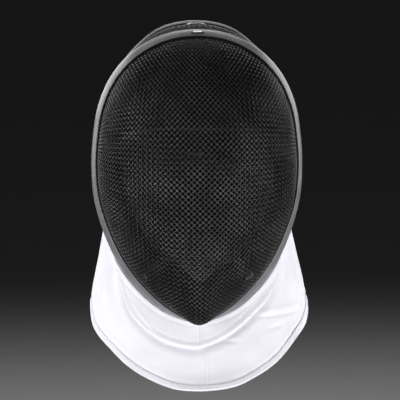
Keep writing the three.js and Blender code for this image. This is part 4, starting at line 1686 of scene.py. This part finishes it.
@dataclass
class Lining:
    """Padded lining inside the face mesh: forehead, cheeks and chin, each with a bound edge."""

    dome: Dome
    padding: Padding = field(default_factory=Padding)
    start_mm: float = 10.0
    wall: float = 2.0
    gap: float = 0.9
    clear: float = 0.5
    binding_radius: float = 1.2
    binding_depth: float = 0.16
    groove_mm: float = 2.0
    groove_width: float = 3.2
    edge_share: float = 0.40
    slot: str = "padding"
    cuts: Tuple[PadCut, ...] = (
        PadCut("forehead_padding", "forehead_pad", -0.397, 0.397, 13.2,
               (0.52, 0.735, 0.845, 0.893, 0.904, 0.893, 0.845, 0.735, 0.52),
               (-0.22, -0.075, 0.075, 0.22)),
        PadCut("cheek_padding_left", "cheek_pad_left", 0.4035, 0.797, 9.2, CHEEK_REACH,
               (0.53, 0.66)),
        PadCut("cheek_padding_right", "cheek_pad_right", -0.4035, -0.797, 9.2, CHEEK_REACH,
               (-0.53, -0.66)),
        PadCut("chin_padding", "chin_pad", 0.803, 1.197, 9.2,
               (0.86, 0.885, 0.898, 0.903, 0.898, 0.885, 0.86), (0.93, 1.07)),
    )

    def share(self, cut: PadCut, station: Array, v: Array) -> Array:
        """Share of the way forward at a place on the pad, even in the quarter-circle angle.

        Args:
            cut: The pad.
            station: Places round the rim.
            v: Place from the pad's rim edge at 0 to its inner edge at 1.

        Returns:
            Shares of the way forward.
        """
        first = self.start_mm / (self.dome.rim.point(station)[..., 1] - self.dome.front)
        last = smooth_run(cut.reach, (station - cut.start) / (cut.end - cut.start))
        a, b = np.arcsin(first), np.arcsin(last)
        return np.sin(a + (b - a) * v)

    def pad(self, cut: PadCut) -> bpy.types.Object:
        """Builds one pad as a crowned solid on the dome and swells it.

        Its thickness is that of the cut times (1 - |2u - 1|^5)^(1/2) times the same of v, but
        never less than edge_share of the cut's.

        Args:
            cut: The pad.

        Returns:
            The piece.
        """
        count = 60 if abs(cut.end - cut.start) > 0.5 else 40
        u = (1 - np.cos(np.linspace(0, math.pi, count))) / 2
        v = (1 - np.cos(np.linspace(0, math.pi, 28))) / 2
        uu, vv = np.meshgrid(u, v, indexing="ij")
        station = cut.start + (cut.end - cut.start) * uu
        share = self.share(cut, station, vv)
        crown = (np.sqrt(np.maximum(1 - np.abs(2 * uu - 1) ** 5, 0))
                 * np.sqrt(np.maximum(1 - np.abs(2 * vv - 1) ** 5, 0)))
        back = self.wall + self.gap
        outer = self.dome.offset(station, share, np.full(uu.shape, back))
        thick = cut.thick * np.maximum(crown, self.edge_share)
        inner = self.dome.offset(station, share, back + thick)
        piece = mesh_piece(cut.name, *closed_shell(outer, inner))
        self.padding.swell(piece)
        self.padding.reshape(piece, lambda points: self.sewn(cut, points))
        return piece

    def sewn(self, cut: PadCut, points: Array) -> Array:
        """Keeps the pad off the wires and presses its sewn channels in.

        Each channel is a bell curve across its station, on the side away from the wires.

        Args:
            cut: The pad.
            points: The pad's points.

        Returns:
            The new points.
        """
        level = DomeLevel(self.dome, 2001)
        depth, out = level.depth(points)
        short = np.maximum(self.wall + self.clear - depth, 0.0)
        points = points - out * short[:, None]
        depth = depth + short
        station = level.look_up(points, DomeLevel.STATION)
        if cut.end > 1.0:
            station = np.where(station < 0, station + 2.0, station)
        across = self.dome.rim.per_station(cut.start, 0.01)
        press = np.zeros(len(points))
        for channel in cut.channels:
            away = (station - channel) * across
            press += self.groove_mm * bell(away, self.groove_width)
        deep = np.clip((depth - self.wall - cut.thick * 0.35) / (cut.thick * 0.4), 0, 1)
        return points + out * (press * deep)[:, None]

    def binding(self, cut: PadCut) -> bpy.types.Object:
        """A bound cord along the pad's inner edge: a tube that tapers at both ends.

        Args:
            cut: The pad.

        Returns:
            The piece.
        """
        u = np.linspace(0.02, 0.98, 90)
        station = cut.start + (cut.end - cut.start) * u
        depth = self.wall + self.gap + np.full(u.shape, cut.thick * self.binding_depth)
        path = self.dome.offset(station, self.share(cut, station, np.full(u.shape, 0.99)), depth)
        thin = np.sqrt(np.clip(1 - np.abs(2 * u - 1) ** 12, 0.02, 1))
        rings = tube(path, self.binding_radius * thin, up=np.array([0.0, 1.0, 0.0]))
        return mesh_piece(cut.name + "_binding", *swept(rings))

    def build(self) -> List[bpy.types.Object]:
        """Builds every pad and its binding.

        Returns:
            The pads and bindings, in turn.
        """
        return [make(cut) for cut in self.cuts for make in (self.pad, self.binding)]

    def dress(self, pieces: Sequence[bpy.types.Object]) -> None:
        """Gives pads their brushed knit and bindings a smoother tape."""
        knit = Cloth("black_knit", Weave.KNIT, (0.002, 0.002, 0.0025), (0.009, 0.009, 0.010),
                     pitch_mm=1.1, depth_mm=0.3, sheen=0.03).make()
        tape = Thread("binding_tape", (0.010, 0.010, 0.011), (0.022, 0.022, 0.024),
                      sheen=0.0).make()
        for k, cut in enumerate(self.cuts):
            pad, binding = pieces[2 * k], pieces[2 * k + 1]
            dress(pad, knit, self.slot, cut.node)
            dress(binding, tape, self.slot)


@dataclass
class TonguePad:
    """Padded end of the tongue, on the side that touches the head."""

    tongue: Tongue
    padding: Padding = field(default_factory=lambda: Padding(voxel_mm=2.6, cap_mm=1.0))
    width: float = 44.0
    length: float = 56.0
    thick: float = 6.4
    gap: float = 0.5
    clearance: float = 0.2
    corner: float = 2.8
    points: int = 33
    slot: str = "padding"

    def build(self) -> bpy.types.Object:
        """Builds the pad as a rounded oval pillow on the tongue's head side, and swells it.

        The thickness rises from a quarter at the edge, as (1 - distance^4)^(1/2) of the distance
        from the middle.

        Returns:
            The piece.
        """
        path, out = self.tongue.line(400)
        total = lengths(path)
        x, y, far = rounded_square(self.corner, self.points)
        x, y = x * self.width / 2, y * self.length / 2
        place = total[-1] - 1.0 - self.length / 2 + y
        middle, away = along_path(place, total, path), along_path(place, total, out)
        middle[..., 0] += x
        high = self.thick * (0.25 + 0.75 * np.sqrt(np.maximum(1 - far**4, 0.0)))
        base = self.tongue.thick / 2 + self.gap
        inner = middle - away * (base + high)[..., None]
        piece = mesh_piece("tongue_cushion", *closed_shell(middle - away * base, inner))
        self.padding.swell(piece)
        self.padding.reshape(piece, self.clear)
        return piece

    def clear(self, points: Array) -> Array:
        """Keeps the pad on the head side of the strip: a point that came nearer than the strip's
        own half thickness is moved back along the strip's outward direction.

        Args:
            points: The pad's points.

        Returns:
            The new points.
        """
        path, out = self.tongue.line(400)
        away = (np.abs(points[:, 1:2] - path[None, :, 1])
                + np.abs(points[:, 2:3] - path[None, :, 2]))
        nearest = np.argmin(away, axis=1)
        high = np.sum((points - path[nearest]) * out[nearest], axis=1)
        over = np.maximum(high + self.tongue.thick / 2 + self.clearance, 0.0)
        return points - out[nearest] * over[:, None]

    def dress(self, piece: bpy.types.Object) -> None:
        """Gives the pad its knit cover."""
        knit = Cloth("tongue_knit", Weave.KNIT, (0.005, 0.005, 0.006), (0.022, 0.022, 0.024),
                     pitch_mm=1.1, depth_mm=0.3, sheen=0.10)
        dress(piece, knit.make(), self.slot, "tongue_pad")


# Bib.


@dataclass(frozen=True)
class Crease:
    """A ridge or hollow pressed into the bib along a straight way.

    Places are shares across, from -1 at one ear to 1 at the other, and down, from 0 to 1."""

    start: Tuple[float, float]
    end: Tuple[float, float]
    width_mm: float
    height_mm: float


@dataclass
class Bib:
    """Throat bib: skirt, collar band and hem, each its own layer of cloth.

    half_mm and drop_mm turn shares across and down into about millimetres for the fine relief."""

    dome: Dome
    start: float = 0.64
    wall: float = 1.7
    flare: float = 14.0
    drop: float = 62.0
    forward: float = 42.0
    swing: float = 2.0
    puff: float = 5.0
    hang: float = 1.7
    fold_back: float = 5.5
    gap: float = 0.3
    band_wall: float = 1.9
    band_half: float = 0.76
    band_lift: float = 0.35
    band_under: float = 0.30
    trim_thick: float = 5.5
    hem_lip: float = 1.3
    half_mm: float = 150.0
    drop_mm: float = 95.0
    skirt_seam: float = 0.035
    band_seam: float = 0.008
    slot: str = "white_cloth"
    hem_widths: Tuple[float, ...] = (5.2, 5.4, 5.4, 4.6, 3.7, 4.1, 5.4, 6.4, 6.4)
    hem_flare: Tuple[float, ...] = (0.80, 0.74, 0.34, -0.62, -1.90, -3.40, -5.05, -6.90)
    hem_drop: Tuple[float, ...] = (0.02, 0.22, 0.43, 0.60, 0.76, 0.89, 0.97, 1.00)
    hem_ahead: Tuple[float, ...] = (-1.19, -1.08, -0.86, -0.30, 0.18, 0.58, 0.84, 0.92)
    folds: Tuple[Tuple[float, float, float], ...] = (
        (-0.42, 0.10, 0.55), (0.36, 0.11, 0.70), (0.70, 0.07, 0.30), (-0.76, 0.08, 0.30),
    )
    band_reach: Tuple[float, ...] = (0.10, 0.235, 0.375, 0.433, 0.465, 0.472, 0.465, 0.403, 0.345,
                                     0.300, 0.285, 0.235, 0.130)
    creases: Tuple[Crease, ...] = (
        Crease((0.40, 0.35), (0.54, 0.52), 1.9, -0.8),
        Crease((0.42, 0.31), (0.56, 0.47), 3.0, 0.6),
        Crease((0.55, 0.53), (0.76, 0.80), 1.9, -0.8),
        Crease((0.56, 0.47), (0.78, 0.74), 3.0, 0.6),
        Crease((0.45, 0.57), (0.58, 0.69), 3.0, -0.6),
        Crease((0.14, 0.41), (0.24, 0.49), 2.4, -0.8),
        Crease((-0.41, 0.35), (-0.29, 0.43), 2.4, -0.8),
        Crease((-0.45, 0.30), (-0.31, 0.40), 3.4, 0.6),
        Crease((-0.78, 0.16), (-0.60, 0.46), 7.5, -1.9),
        Crease((-0.86, 0.22), (-0.70, 0.66), 8.0, 1.3),
        Crease((0.82, 0.12), (0.64, 0.40), 9.0, -2.4),
        Crease((0.88, 0.30), (0.74, 0.60), 7.0, 1.2),
        Crease((-0.20, 0.55), (-0.38, 0.90), 9.0, 0.9),
        Crease((0.30, 0.55), (0.42, 0.95), 9.0, 0.8),
    )

    def hem(self, across: Array) -> Array:
        """Free edge: shares of the flare, the drop and the way forward, from ear to chest."""
        side = np.where(across < 0, -1.0, 1.0)
        t = 1 - np.abs(across)
        chin = self.dome.rim.point(np.array(1.0))
        half = self.dome.rim.width / 2 + self.flare * smooth_run(self.hem_flare, t)
        return np.stack([
            side * np.maximum(half, 0.0) + self.swing,
            chin[1] - self.forward * smooth_run(self.hem_ahead, t),
            chin[2] - self.drop * smooth_run(self.hem_drop, t),
        ], axis=-1)

    def plain(self, across: Array, down: Array) -> Array:
        """The bib as the source has it.

        It runs straight from the edging to the free edge as seen from the front, and hangs back
        by down^hang. It is puffed outwards by sin^2 of the way down, less its long folds.

        Args:
            across: Shares across.
            down: Shares down.

        Returns:
            The points.
        """
        side = np.where(across < 0, -1.0, 1.0)
        station = side * (1 - np.abs(across) * (1 - self.start))
        back = np.full(station.shape, self.fold_back + 2 * self.gap)
        top = self.dome.at_rim(station, back, np.full(station.shape, self.gap))
        low = self.hem(across)
        folds = np.zeros(across.shape)
        for at, spread, height in self.folds:
            centre = math.copysign(1 - abs(at), at)
            folds = folds + height * bell(across - centre, spread)
        puff = self.puff * (np.sin(math.pi * down) ** 2 - folds * down**2 * (1.6 - down))
        ear = self.dome.rim.point(np.array(0.5))[1]
        level = np.zeros(across.shape)
        out = unit(np.stack([low[..., 0] - self.swing, low[..., 1] - ear, level], axis=-1))
        hung = np.stack([
            top[..., 0] * (1 - down) + low[..., 0] * down,
            top[..., 1] + (low[..., 1] - top[..., 1]) * np.maximum(down, 0.0) ** self.hang,
            top[..., 2] * (1 - down) + low[..., 2] * down,
        ], axis=-1)
        return hung + out * (puff * (1 - across**2))[..., None]

    def square(self, across: Array, down: Array) -> Array:
        """Outward direction, square to the bib, from its slopes."""
        a = np.clip(across, -0.994, 0.994)
        d = np.clip(down, 0.006, 0.994)
        along = self.plain(a + 0.004, d) - self.plain(a - 0.004, d)
        below = self.plain(a, d + 0.004) - self.plain(a, d - 0.004)
        return unit(np.cross(below, along))

    def relief(self, across: Array, down: Array) -> Array:
        """Height of the creases and the slack of the cloth.

        A crease is a bell curve of the distance to its way. The slack is a sum of a few slow
        sines across and down.

        Args:
            across: Shares across.
            down: Shares down.

        Returns:
            Heights in millimetres.
        """
        x, y = across * self.half_mm, down * self.drop_mm
        total = np.zeros(across.shape)
        for crease in self.creases:
            a, b = np.array([crease.start, crease.end]) * (self.half_mm, self.drop_mm)
            way = b - a
            t = np.clip(((x - a[0]) * way[0] + (y - a[1]) * way[1]) / (way @ way), 0.0, 1.0)
            away = np.hypot(x - a[0] - t * way[0], y - a[1] - t * way[1])
            high = crease.height_mm * bell(away, crease.width_mm)
            total = total + high * np.sin(math.pi * (0.1 + 0.8 * t))
        slack = (0.45 * np.sin(x / 9.0 + 1.3 * np.sin(y / 13.0)) * down**2
                 + 0.35 * np.sin(y / 7.5 + 0.9 * np.sin(x / 17.0 + 0.6)) * down
                 + 0.18 * np.sin(x / 3.7 + 2.0) * bell(down - 0.96, 0.05))
        return total + slack

    def point(self, across: Array, down: Array, out: Array) -> Array:
        """Points of the dressed bib, lifted off its outer face."""
        lift = np.asarray(out) + self.relief(across, down) * np.clip(down * 6, 0, 1)
        return self.plain(across, down) + self.square(across, down) * lift[..., None]

    def long(self, across: Array) -> Array:
        """Straight distance from the edging to the free edge at each place across."""
        top, low = (self.plain(across, np.full(across.shape, share)) for share in (0.0, 1.0))
        return np.linalg.norm(low - top, axis=-1)

    def hem_wide(self, across: Array) -> Array:
        """Width of the turned hem from one ear to the other."""
        return smooth_run(self.hem_widths, (across + 1) / 2)

    def hem_start(self, across: Array) -> Array:
        """Share down at which the skirt ends, inside the hem's lip."""
        return 1 - (self.hem_wide(across) + 0.15) / self.long(across)

    def cloth_uv(self, grid: Array) -> Array:
        """Cloth coordinates of a grid: along its middle line across, and down each way."""
        middle = lengths(grid[:, grid.shape[1] // 2])
        down = np.stack([lengths(way) for way in grid])
        return np.stack([np.broadcast_to(middle[:, None], down.shape), down], axis=-1)

    def flat_size(self, grid: Array) -> Tuple[Tuple[float, float], float]:
        """Flat size of the cloth that a grid is: its widest and longest rows, and its area.

        Args:
            grid: The sheet's points.

        Returns:
            Width and length in metres, and area in square metres.
        """
        wide = max(lengths(grid[:, k])[-1] for k in range(grid.shape[1]))
        long = max(lengths(row)[-1] for row in grid)
        a = grid[1:, :-1] - grid[:-1, :-1]
        b = grid[:-1, 1:] - grid[:-1, :-1]
        c = grid[1:, :-1] - grid[1:, 1:]
        d = grid[:-1, 1:] - grid[1:, 1:]
        halves = [np.linalg.norm(np.cross(*sides), axis=2) for sides in ((a, b), (c, d))]
        area = float((halves[0] + halves[1]).sum() / 2)
        return (wide * MILLIMETRE, long * MILLIMETRE), area * MILLIMETRE**2

    def layer(self, name: str, across: Array, down: Array, high: Array,
              low: Array) -> bpy.types.Object:
        """One layer of cloth, whose flat size is that of the grid halfway through it.

        Args:
            name: The piece's name.
            across: Grid of shares across.
            down: Grid of shares down.
            high: Height of its outer face off the bib's face, on the grid.
            low: Height of its inner face.

        Returns:
            The piece.
        """
        outer, inner = self.point(across, down, high), self.point(across, down, low)
        uv = self.cloth_uv(outer)
        points, faces = closed_shell(outer, inner)
        piece = mesh_piece(name, points, faces, uv=np.concatenate([uv.reshape(-1, 2)] * 2))
        flat, area = self.flat_size((outer + inner) / 2)
        LOG.info("%s flat %.3f x %.3f m, %.4f m2", name, *flat, area)
        return piece

    def beside(self, across: Array, down: Array) -> Array:
        """Height of the skirt beside the layers on it.

        It hollows under the collar band's edge and swells again below, each a bell curve of the
        distance from that edge. Along the hem it drops in a narrow bell curve and swells behind
        that, a quarter as much on the -X side as on the other.

        Args:
            across: Shares across.
            down: Shares down.

        Returns:
            Heights in millimetres.
        """
        long = self.long(across)
        below = (down - self.band_low(across)) * long
        near = np.clip((self.band_half + 0.04 - np.abs(across)) / 0.10, 0, 1)
        hollow = -0.9 * bell(below - 0.5, 3.2) + 0.6 * bell(below - 8.0, 5.0)
        hem = (1 - down) * long - self.hem_wide(across)
        right = 0.25 + 0.75 * np.clip((across - 0.45) / 0.2, 0, 1)
        edge = -1.3 * right * bell(hem - 1.8, 1.3) + 0.5 * right * bell(hem - 6.0, 3.0)
        return hollow * near + edge

    def skirt(self) -> bpy.types.Object:
        """The skirt, from the edging into the hem, with its middle seam.

        Returns:
            The piece.
        """
        a = np.linspace(-1.0, 1.0, 421)
        v = np.linspace(0.0, 1.0, 120)
        across, v = np.meshgrid(a, v, indexing="ij")
        down = v * self.hem_start(across)
        place = (across - self.skirt_seam) * self.half_mm
        seam = 0.40 * bell(place - 1.2, 1.5) - 0.55 * bell(place, 0.45)
        high = seam * np.clip((down - 0.40) * 12, 0, 1) + self.beside(across, down)
        return self.layer("bib_cloth", across, down, high, high - self.wall)

    def hem_piece(self) -> bpy.types.Object:
        """The turned hem, swept along the free edge, with a thin lip over the skirt.

        The section is a softened ring of pairs: distance from the free edge, and height off the
        bib's face. Puckers are a fine sine along the hem, strongest near the seam.

        Returns:
            The piece.
        """
        across = np.linspace(-1.0, 1.0, 721)
        wide = self.hem_wide(across)[:, None]
        back, lip = -self.wall - 0.55, self.hem_lip
        share = np.array([1, 1, 1, 1, 0.82, 0.5, 0.26, 0.10, 0, 0, 0, 0.10, 0.26, 0.5, 0.9, 1, 1,
                          1])
        more = np.array([lip, lip * 0.9, lip * 0.5, 0, 0, 0, 0, 0, 0.15, 0, 0.15, 0, 0, 0, 0, 0,
                         0, 0])
        high = np.array([0.06, 0.24, 0.46, 0.58, 0.64, 0.62, 0.56, 0.36, -0.2, -0.85, -1.5,
                         back + 0.25, back + 0.05, back, back, back + 0.1, -0.9, 0.04])
        edge = wide * share + more
        sine = 0.13 * np.sin(across * self.half_mm / 0.85)[:, None]
        pucker = sine * bell(edge - wide + 0.4, 1.4)
        level = high + np.where(high > 0.1, pucker, 0.0)
        down = 1 - edge / self.long(across)[:, None]
        rings = self.point(np.broadcast_to(across[:, None], edge.shape), down, level)
        run = lengths(rings[:, 5])
        uv = np.stack(np.broadcast_arrays(run[:, None], edge), axis=-1)
        points, faces = swept(rings)
        return mesh_piece("bib_edge", points, faces, uv=uv.reshape(-1, 2))

    def band_top(self, across: Array) -> Array:
        """Share down of the collar band's top, clear of the edging's thickness."""
        return (self.trim_thick + 2 * self.gap + self.band_wall) / self.long(across)

    def band_low(self, across: Array) -> Array:
        """Share down of the collar band's lower edge, never nearer the edging than its layers
        need."""
        reach = smooth_run(self.band_reach, (across / self.band_half + 1) / 2)
        return np.maximum(reach, 1.6 * self.band_top(across))

    def band_down(self, across: Array, v: Array) -> Array:
        """Share down of a place on the collar band, from its top at 0 to its lower edge at 1."""
        top = self.band_top(across)
        return top + (self.band_low(across) - top) * v

    def band(self) -> bpy.types.Object:
        """The collar band: a second layer over the top of the skirt, seamed in the middle.

        It thins to a rounded edge, stands a little proud along its turned edge and dips along
        the seam behind that.

        Returns:
            The piece.
        """
        a = np.linspace(-self.band_half, self.band_half, 321)
        v = 1 - (1 - np.linspace(0.0, 1.0, 48)) ** 1.5
        across, v = np.meshgrid(a, v, indexing="ij")
        down = self.band_down(across, v)
        long = self.long(across) * (self.band_low(across) - self.band_top(across))
        edge = np.minimum((1 - v) * long, v * long + 0.6)
        body = np.sqrt(np.clip(1 - (1 - np.clip(edge / 1.6, 0, 1)) ** 2, 0.04, 1))
        swell = 0.3 * bell(edge - 2.6, 2.0) - 0.2 * bell(edge - 6.2, 1.4)
        place = (across - self.band_seam) * self.half_mm
        seam = 0.35 * bell(place, 3.0) - 0.65 * bell(place, 0.6)
        high = self.band_lift + self.band_wall * body + swell * body + seam
        return self.layer("collar_band", across, down, high, np.full(v.shape, self.band_under))

    def stitches(self, name: str, across: Array, down: Array, high: float, pitch: float = 3.1,
                 length: float = 2.3, radius: float = 0.24) -> bpy.types.Object:
        """A row of stitches along a way on the bib.

        Each stitch is a small tube of five rings of five points, which rises out of the cloth
        and dips back into it.

        Args:
            name: The piece's name.
            across: The way's shares across.
            down: Its shares down.
            high: Height of the cloth's face there.
            pitch: Distance from one stitch to the next.
            length: Length of a stitch.
            radius: Radius of the thread.

        Returns:
            The piece.
        """
        way = self.point(across, down, np.full(across.shape, high))
        square = self.square(across, down)
        run = lengths(way)
        count = int(run[-1] // pitch)
        places = (np.linspace(pitch / 2, run[-1] - pitch / 2, count)[:, None]
                  + np.linspace(-0.5, 0.5, 5)[None] * length)
        middle, up = along_path(places, run, way), along_path(places, run, square)
        along = unit(np.gradient(middle, axis=1))
        up = unit(up - along * np.sum(up * along, axis=-1, keepdims=True))
        side = np.cross(along, up)
        arch = np.array([-0.35, 0.45, 0.70, 0.45, -0.35]) * radius
        thin = np.array([0.35, 0.85, 1.0, 0.85, 0.35]) * radius
        turn = np.linspace(0, 2 * math.pi, 6)[:-1]
        rings = (middle + up * arch[None, :, None])[:, :, None] + thin[None, :, None, None] * (
            np.cos(turn)[:, None] * up[:, :, None] + np.sin(turn)[:, None] * side[:, :, None])
        numbers = np.arange(count * 25).reshape(count, 5, 5)
        nxt = np.roll(numbers, -1, axis=2)
        quads = [numbers[:, :-1], numbers[:, 1:], nxt[:, 1:], nxt[:, :-1]]
        quads = np.stack(quads, axis=-1).reshape(-1, 4)
        caps = np.concatenate([numbers[:, 0, ::-1], numbers[:, -1]])
        return mesh_piece(name, rings.reshape(-1, 3), [quads, caps])

    def threads(self) -> List[bpy.types.Object]:
        """The stitched rows: two along the collar band's lower edge and one along the hem.

        Returns:
            The rows.
        """
        a = np.linspace(-self.band_half * 0.97, self.band_half * 0.97, 600)
        room = self.long(a) * (self.band_low(a) - self.band_top(a))
        rows = []
        for k, (inset, lift) in enumerate(((2.2, 0.30), (6.2, -0.25))):
            way = a[room > inset + 3.0]
            low = self.band_low(way) - inset / self.long(way)
            high = self.band_lift + self.band_wall + lift
            rows.append(self.stitches(f"band_stitches_{k + 1}", way, low, high))
        b = np.linspace(-0.985, 0.985, 900)
        inset = self.hem_wide(b) - 0.5
        rows.append(self.stitches("hem_stitches", b, 1 - inset / self.long(b), 0.60))
        return rows

    def build(self) -> Dict[str, bpy.types.Object]:
        """Builds the three layers and the threads.

        Returns:
            The pieces by what they are.
        """
        made = {"skirt": self.skirt(), "hem": self.hem_piece(), "band": self.band()}
        made.update({row.name: row for row in self.threads()})
        return made

    def dress(self, made: Dict[str, bpy.types.Object]) -> None:
        """Gives the layers their white cloth and the rows their thread."""
        white = Cloth("white_cloth", Weave.PLAIN, (0.80, 0.79, 0.87), (0.91, 0.90, 0.96),
                      pitch_mm=0.62, depth_mm=0.07, sheen=0.2, cloudiness=0.3).make()
        thread = Thread("white_thread", (0.74, 0.73, 0.80), (0.88, 0.87, 0.92)).make()
        nodes = {"skirt": "bib_skirt", "hem": "bib_hem", "band": "throat_band"}
        for key, piece in made.items():
            dress(piece, white if key in nodes else thread, self.slot, nodes.get(key))


# Studio.


@dataclass
class Studio:
    """Camera at the photo's angle, pale floor and soft lights."""

    aim: Tuple[float, float, float] = (0.0015, -0.070, -0.14625)
    azimuth: float = -1.5
    elevation: float = 13.0
    distance: float = 1.5
    lens: float = 143.7
    floor_level: float = -1.35
    floor_size: float = 30.0
    world: float = 0.012
    world_colour: Colour = (0.97, 0.98, 1.0)
    light_colour: Colour = (1.0, 0.995, 0.985)
    spread: float = 80.0
    floor_light_away: float = 2.3
    floor_light_high: float = 0.35
    floor_light_power: float = 4.0
    lights: Tuple[Tuple[str, Tuple[float, float, float], Tuple[float, float], float], ...] = (
        ("left_softbox", (-0.80, -1.25, 0.15), (0.7, 0.7), 1.30),
        ("right_softbox", (0.80, -1.25, 0.15), (0.7, 0.7), 1.1),
        ("left_side_softbox", (-1.25, -0.35, 0.05), (0.4, 0.8), 2.5),
        ("right_side_softbox", (1.25, -0.35, 0.05), (0.4, 0.8), 0.75),
        ("right_low_softbox", (1.10, -0.70, -0.50), (0.5, 0.8), 1.6),
        ("low_softbox", (0.0, -1.05, -0.80), (1.4, 0.4), 2.15),
        ("crest_light", (0.0, 0.90, 0.70), (1.1, 0.30), 0.85),
        ("left_edge_light", (-0.90, 0.70, 0.05), (0.2, 0.9), 0.4),
        ("right_edge_light", (0.90, 0.70, 0.05), (0.2, 0.9), 0.4),
        ("left_back_softbox", (-0.75, 1.25, 0.15), (0.7, 0.7), 0.9),
        ("right_back_softbox", (0.75, 1.25, 0.15), (0.7, 0.7), 0.6),
    )

    def camera(self) -> None:
        """Places the camera so far from its aim, at its azimuth and elevation."""
        data = bpy.data.cameras.new("photo_camera")
        data.sensor_width = 36.0
        data.lens = self.lens
        data.clip_start, data.clip_end = 0.05, 60.0
        piece = bpy.data.objects.new("photo_camera", data)
        a, e = math.radians(self.azimuth), math.radians(self.elevation)
        back = Vector((math.sin(a) * math.cos(e), -math.cos(a) * math.cos(e), math.sin(e)))
        piece.location = Vector(self.aim) + back * self.distance
        piece.rotation_mode = "QUATERNION"
        piece.rotation_quaternion = (-back).to_track_quat("-Z", "Y")
        bpy.context.scene.collection.objects.link(piece)
        bpy.context.scene.camera = piece

    def floor(self) -> None:
        """A level pale floor, a plain grid."""
        x = np.linspace(-self.floor_size / 2, self.floor_size / 2, 40)
        y = np.linspace(-self.floor_size / 2, self.floor_size / 2, 60)
        xx, yy = np.meshgrid(x, y, indexing="ij")
        zz = np.full(xx.shape, self.floor_level)
        mesh = bpy.data.meshes.new("studio_floor")
        points = np.stack([xx, yy, zz], axis=-1).reshape(-1, 3)
        quads = grid_quads(np.arange(xx.size).reshape(xx.shape))
        mesh.from_pydata(points.tolist(), [], quads.tolist())
        piece = bpy.data.objects.new("studio_floor", mesh)
        piece.data.materials.append(Floor().make())
        bpy.context.scene.collection.objects.link(piece)

    def light(self, name: str, place: Tuple[float, float, float], size: Tuple[float, float],
              power: float, target: Tuple[float, float, float]) -> None:
        """A soft rectangular light.

        Args:
            name: The light's name.
            place: Where it stands.
            size: Its width and height.
            power: Its power in watts.
            target: Where it is aimed.
        """
        data = bpy.data.lights.new(name, "AREA")
        data.shape = "RECTANGLE"
        data.size, data.size_y = size
        data.energy = power
        data.color = self.light_colour
        data.spread = math.radians(self.spread)
        piece = bpy.data.objects.new(name, data)
        piece.location = Vector(place)
        piece.rotation_mode = "QUATERNION"
        aim = Vector(target) - piece.location
        piece.rotation_quaternion = aim.to_track_quat("-Z", "Y")
        bpy.context.scene.collection.objects.link(piece)

    def build(self) -> None:
        """Sets the camera, floor, world and lights."""
        self.camera()
        self.floor()
        world = bpy.data.worlds.new("studio_world")
        world.use_nodes = True
        inputs = world.node_tree.nodes["Background"].inputs
        inputs["Color"].default_value = (*self.world_colour, 1.0)
        inputs["Strength"].default_value = self.world
        bpy.context.scene.world = world
        bpy.context.scene.view_settings.view_transform = "Standard"
        for name, place, size, power in self.lights:
            self.light(name, place, size, power, self.aim)
        for k, (x, y) in enumerate(((0.0, 1.0), (-1.0, 0.0), (0.0, -1.0), (1.0, 0.0))):
            place = (x * self.floor_light_away, y * self.floor_light_away)
            size = (3.0, 0.8) if y else (0.8, 3.0)
            self.light(f"floor_light_{k + 1}", (*place, self.floor_light_high), size,
                       self.floor_light_power, (*place, self.floor_level))


@dataclass
class FencingMask:
    """The whole mask, built in order from its sub-assemblies."""

    dome: Dome = field(default_factory=Dome)
    mesh_dome: Dome = field(default_factory=lambda: Dome(rim=Rim(across=DRAWN_IN)))
    crown: RearCrown = field(default_factory=RearCrown)

    def build(self) -> None:
        """Builds and dresses every sub-assembly and reports its pieces."""
        wire = CoatedWire().make()
        for cloth in (FaceWire(self.mesh_dome), RearWire(self.crown)):
            pieces = cloth.build()
            cloth.dress(pieces, wire)
            self.report(pieces)
        edging = Edging(self.dome, self.mesh_dome, self.crown)
        for group in (edging, MetalFittings(self.dome, self.crown), Lining(self.mesh_dome)):
            pieces = group.build()
            group.dress(pieces)
            self.report(pieces)
        tongue = Tongue()
        for single in (tongue, BackStrap(), TonguePad(tongue)):
            piece = single.build()
            single.dress(piece)
            self.report([piece])
        bib = Bib(self.dome)
        made = bib.build()
        bib.dress(made)
        self.report(list(made.values()))

    def report(self, pieces: Sequence[bpy.types.Object]) -> None:
        """Logs each piece's name and how many faces it has."""
        for piece in pieces:
            LOG.info("%s: %d faces", piece.name, len(piece.data.polygons))


def main() -> None:
    """Builds the mask and the studio."""
    logging.basicConfig(level=logging.INFO, format="%(name)s: %(message)s", stream=sys.stdout)
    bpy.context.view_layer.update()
    FencingMask().build()
    Studio().build()


if __name__ == "__main__":
    main()
